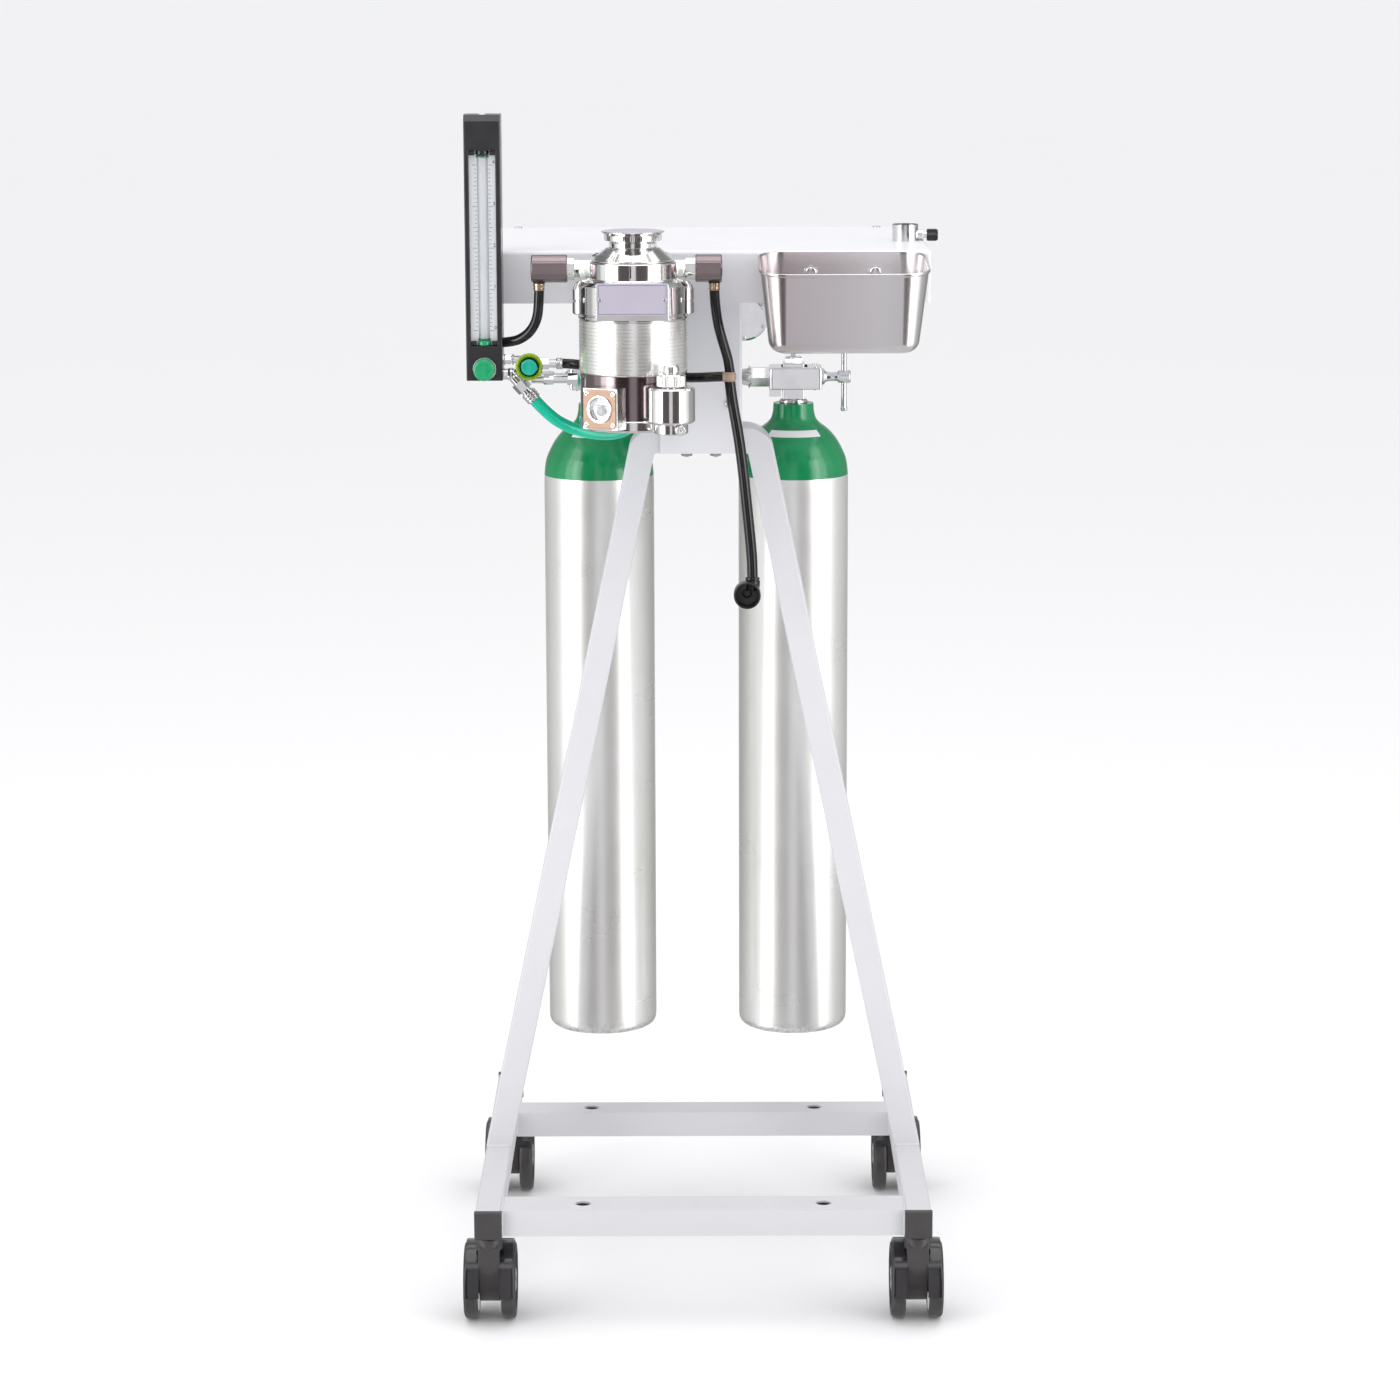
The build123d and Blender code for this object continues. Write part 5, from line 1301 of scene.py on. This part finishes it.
tee = Piece("hose_tee_moulded", "tan")
tee_profile = [(0, -4.5), (5.4, -4.5), (5.8, -4.0), (5.5, -3.2), (6.2, -2.6), (6.2, 2.6), (5.5, 3.2),
               (5.8, 4.0), (5.4, 4.5), (0, 4.5)]
tee.lathe(rounded(tee_profile, 0.3), TEE, segments=64)
branch = [(0, 0), (5.0, 0), (5.0, 5.4), (5.2, 5.8), (5.0, 6.4), (4.6, 7.0), (0, 7.0)]
tee.lathe(rounded(branch, 0.3), TEE, LEFT, segments=56)
tee_piece = tee.publish("root", "tan_plastic", "hose_tee")

MOUTH = Vector((44, -112, 694.5))
connector = Piece("fresh_gas_connector_moulded", "black", "rubber")
barrel = [(11.0, 0.9), (11.6, 0.0), (12.2, 0.0), (13.0, 1.2), (13.0, 4.6), (12.4, 5.2), (12.4, 6.2),
          (13.0, 6.8),
          (13.0, 15.8), (12.2, 17.4), (11.2, 18.2), (11.2, 25.6), (10.2, 27.8), (0, 28)]
connector.lathe(rounded(barrel, 0.4), MOUTH, BACK, segments=96)
connector.lathe(rounded([(11.0, 0.9), (11.0, 15.6), (4.4, 16.0), (4.0, 17.0), (4.0, 21.0), (0, 21.0)], 0.3),
                MOUTH, BACK,
                segments=96, finish=0)
spigot = [(0, 697), (6.8, 697), (7.4, 705.0), (7.4, 706.0), (6.6, 706.6), (6.6, 707.4), (7.2, 708.0),
          (7.0, 709.4), (5.4, 710.0)]
connector.lathe(rounded(spigot, 0.3), (49.2, -92.2, 0), segments=64)
connector_piece = connector.publish("root", "black_plastic", "fresh_gas_connector")

HOSE_FINISH = {"black_hose": "hose", "green_hose": "green_hose"}
FAR_ENDS = {"fresh_gas_hose": "connector"}
ON_HOSE = {"vaporizer_outlet_hose": [tee_piece], "fresh_gas_hose": [connector_piece]}
for hose_name, (diameter, length, slot_name, route) in HOSES.items():
    piece = hoses[hose_name]
    piece.data.materials.append(MATERIALS[HOSE_FINISH[slot_name]])
    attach(piece, "root")
    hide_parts(hose_name)
    tuple(c * MM for c in route[0])
    FAR_ENDS.get(hose_name, "object")
    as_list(ON_HOSE.get(hose_name, []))

# ---------------------------------------------------------------- floor and light

floor_data = bpy.data.meshes.new("studio_floor")
floor_mesh = bmesh.new()
bmesh.ops.create_circle(floor_mesh, cap_ends=True, segments=96, radius=160.0)
floor_mesh.to_mesh(floor_data)
floor_mesh.free()
floor = bpy.data.objects.new("studio_floor", floor_data)
bpy.context.scene.collection.objects.link(floor)
floor_surface = Surface("studio_floor", roughness=0.9, specular_ior_level=0.1)
floor_surface.colour(floor_surface.blend(floor_surface.noise(0.7, detail=2.0), (0.875, 0.875, 0.88),
                                         (0.885, 0.885, 0.89)))
floor_data.materials.append(floor_surface.material)
floor.visible_glossy = False

# The room as reflections see it: bright bands with dark gaps round the walls, and a strip high up.
world = bpy.data.worlds.new("studio")
world.use_nodes = True
bpy.context.scene.world = world
tree = world.node_tree
background = tree.nodes["Background"]


def world_math(operation, first, second=0.0):
    node = tree.nodes.new("ShaderNodeMath")
    node.operation = operation
    for index, value in enumerate((first, second)):
        if isinstance(value, (int, float)):
            node.inputs[index].default_value = value
        else:
            tree.links.new(value, node.inputs[index])
    return node.outputs["Value"]


def world_ramp(factor, stops):
    node = tree.nodes.new("ShaderNodeValToRGB")
    ramp = node.color_ramp
    while len(ramp.elements) < len(stops):
        ramp.elements.new(0.5)
    for element, (place, colour) in zip(ramp.elements, stops):
        element.position = place
        element.color = (*colour, 1.0)
    tree.links.new(factor, node.inputs["Fac"])
    return node.outputs["Color"]


direction = tree.nodes.new("ShaderNodeTexCoord").outputs["Generated"]
split = tree.nodes.new("ShaderNodeSeparateXYZ")
tree.links.new(direction, split.inputs["Vector"])
around = world_math("ARCTAN2", split.outputs["X"], world_math("MULTIPLY", split.outputs["Y"], -1.0))
away = world_math("DIVIDE", world_math("ABSOLUTE", around), math.pi)
AZIMUTH_STOPS = [
    (0, (0.78, 0.77, 0.80)), (7, (0.74, 0.73, 0.77)), (9, (0.11, 0.09, 0.095)), (38, (0.12, 0.10, 0.095)),
    (42, (0.4, 0.4, 0.4)), (50, (3.3, 3.3, 3.3)), (72, (3.3, 3.3, 3.3)), (76, (1.0, 1.0, 1.0)),
    (90, (1.0, 1.0, 1.0)), (97, (0.5, 0.5, 0.5)), (125, (0.42, 0.42, 0.42)), (140, (0.25, 0.25, 0.25)),
    (158, (0.3, 0.3, 0.3)), (168, (0.7, 0.7, 0.7)), (180, (0.7, 0.7, 0.7)),
]
walls_colour = world_ramp(away, [(degrees / 180, colour) for degrees, colour in AZIMUTH_STOPS])
up = world_math("MULTIPLY", world_math("ADD", split.outputs["Z"], 1.0), 0.5)
beyond_walls = world_ramp(up, [(0.0, (1, 1, 1)), (0.15, (1, 1, 1)), (0.19, (0, 0, 0)), (0.83, (0, 0, 0)),
                               (0.88, (1, 1, 1))])
ceiling = world_ramp(up, [(0.0, (0.6, 0.6, 0.6)), (0.5, (0.6, 0.6, 0.6)), (0.56, (0.25, 0.25, 0.25)),
                          (0.86, (0.25, 0.25, 0.25)), (0.89, (1.9, 1.9, 1.9)), (0.93, (1.9, 1.9, 1.9)),
                          (0.95, (0.3, 0.3, 0.3)), (0.97, (2.2, 2.2, 2.2))])


def world_mix(factor, first, second):
    node = tree.nodes.new("ShaderNodeMix")
    node.data_type = "RGBA"
    tree.links.new(factor, node.inputs["Factor"])
    for index, value in ((6, first), (7, second)):
        if isinstance(value, tuple):
            node.inputs[index].default_value = value
        else:
            tree.links.new(value, node.inputs[index])
    return node.outputs[2]


# Reflections see the bands; everything else is lit by an even white room.
mirrored = world_mix(beyond_walls, walls_colour, ceiling)
is_glossy = tree.nodes.new("ShaderNodeLightPath").outputs["Is Glossy Ray"]
tree.links.new(world_mix(is_glossy, (1.0, 1.0, 1.01, 1.0), mirrored), background.inputs["Color"])
background.inputs["Strength"].default_value = 1.0


def soft_light(name, place, target, size, watts, colour=(1.0, 1.0, 1.0), glossy=True):
    data = bpy.data.lights.new(name, "AREA")
    data.shape = "RECTANGLE"
    data.size, data.size_y = size
    data.energy = watts
    data.color = colour
    light = bpy.data.objects.new(name, data)
    light.location = place
    light.rotation_euler = (Vector(target) - Vector(place)).to_track_quat("-Z", "Y").to_euler()
    light.visible_glossy = glossy
    bpy.context.scene.collection.objects.link(light)
    return light


soft_light("overhead", (0.0, -0.6, 3.4), (0, 0, 0.6), (3.2, 3.2), 33.0, glossy=False)
soft_light("left_box", (-2.6, -2.3, 1.5), (0, 0, 0.7), (1.2, 2.4), 26.0)
soft_light("right_box", (2.6, -2.3, 1.5), (0, 0, 0.7), (1.2, 2.4), 22.0)

scene = bpy.context.scene
scene.view_settings.view_transform = "Standard"
scene.view_settings.exposure = 0.0
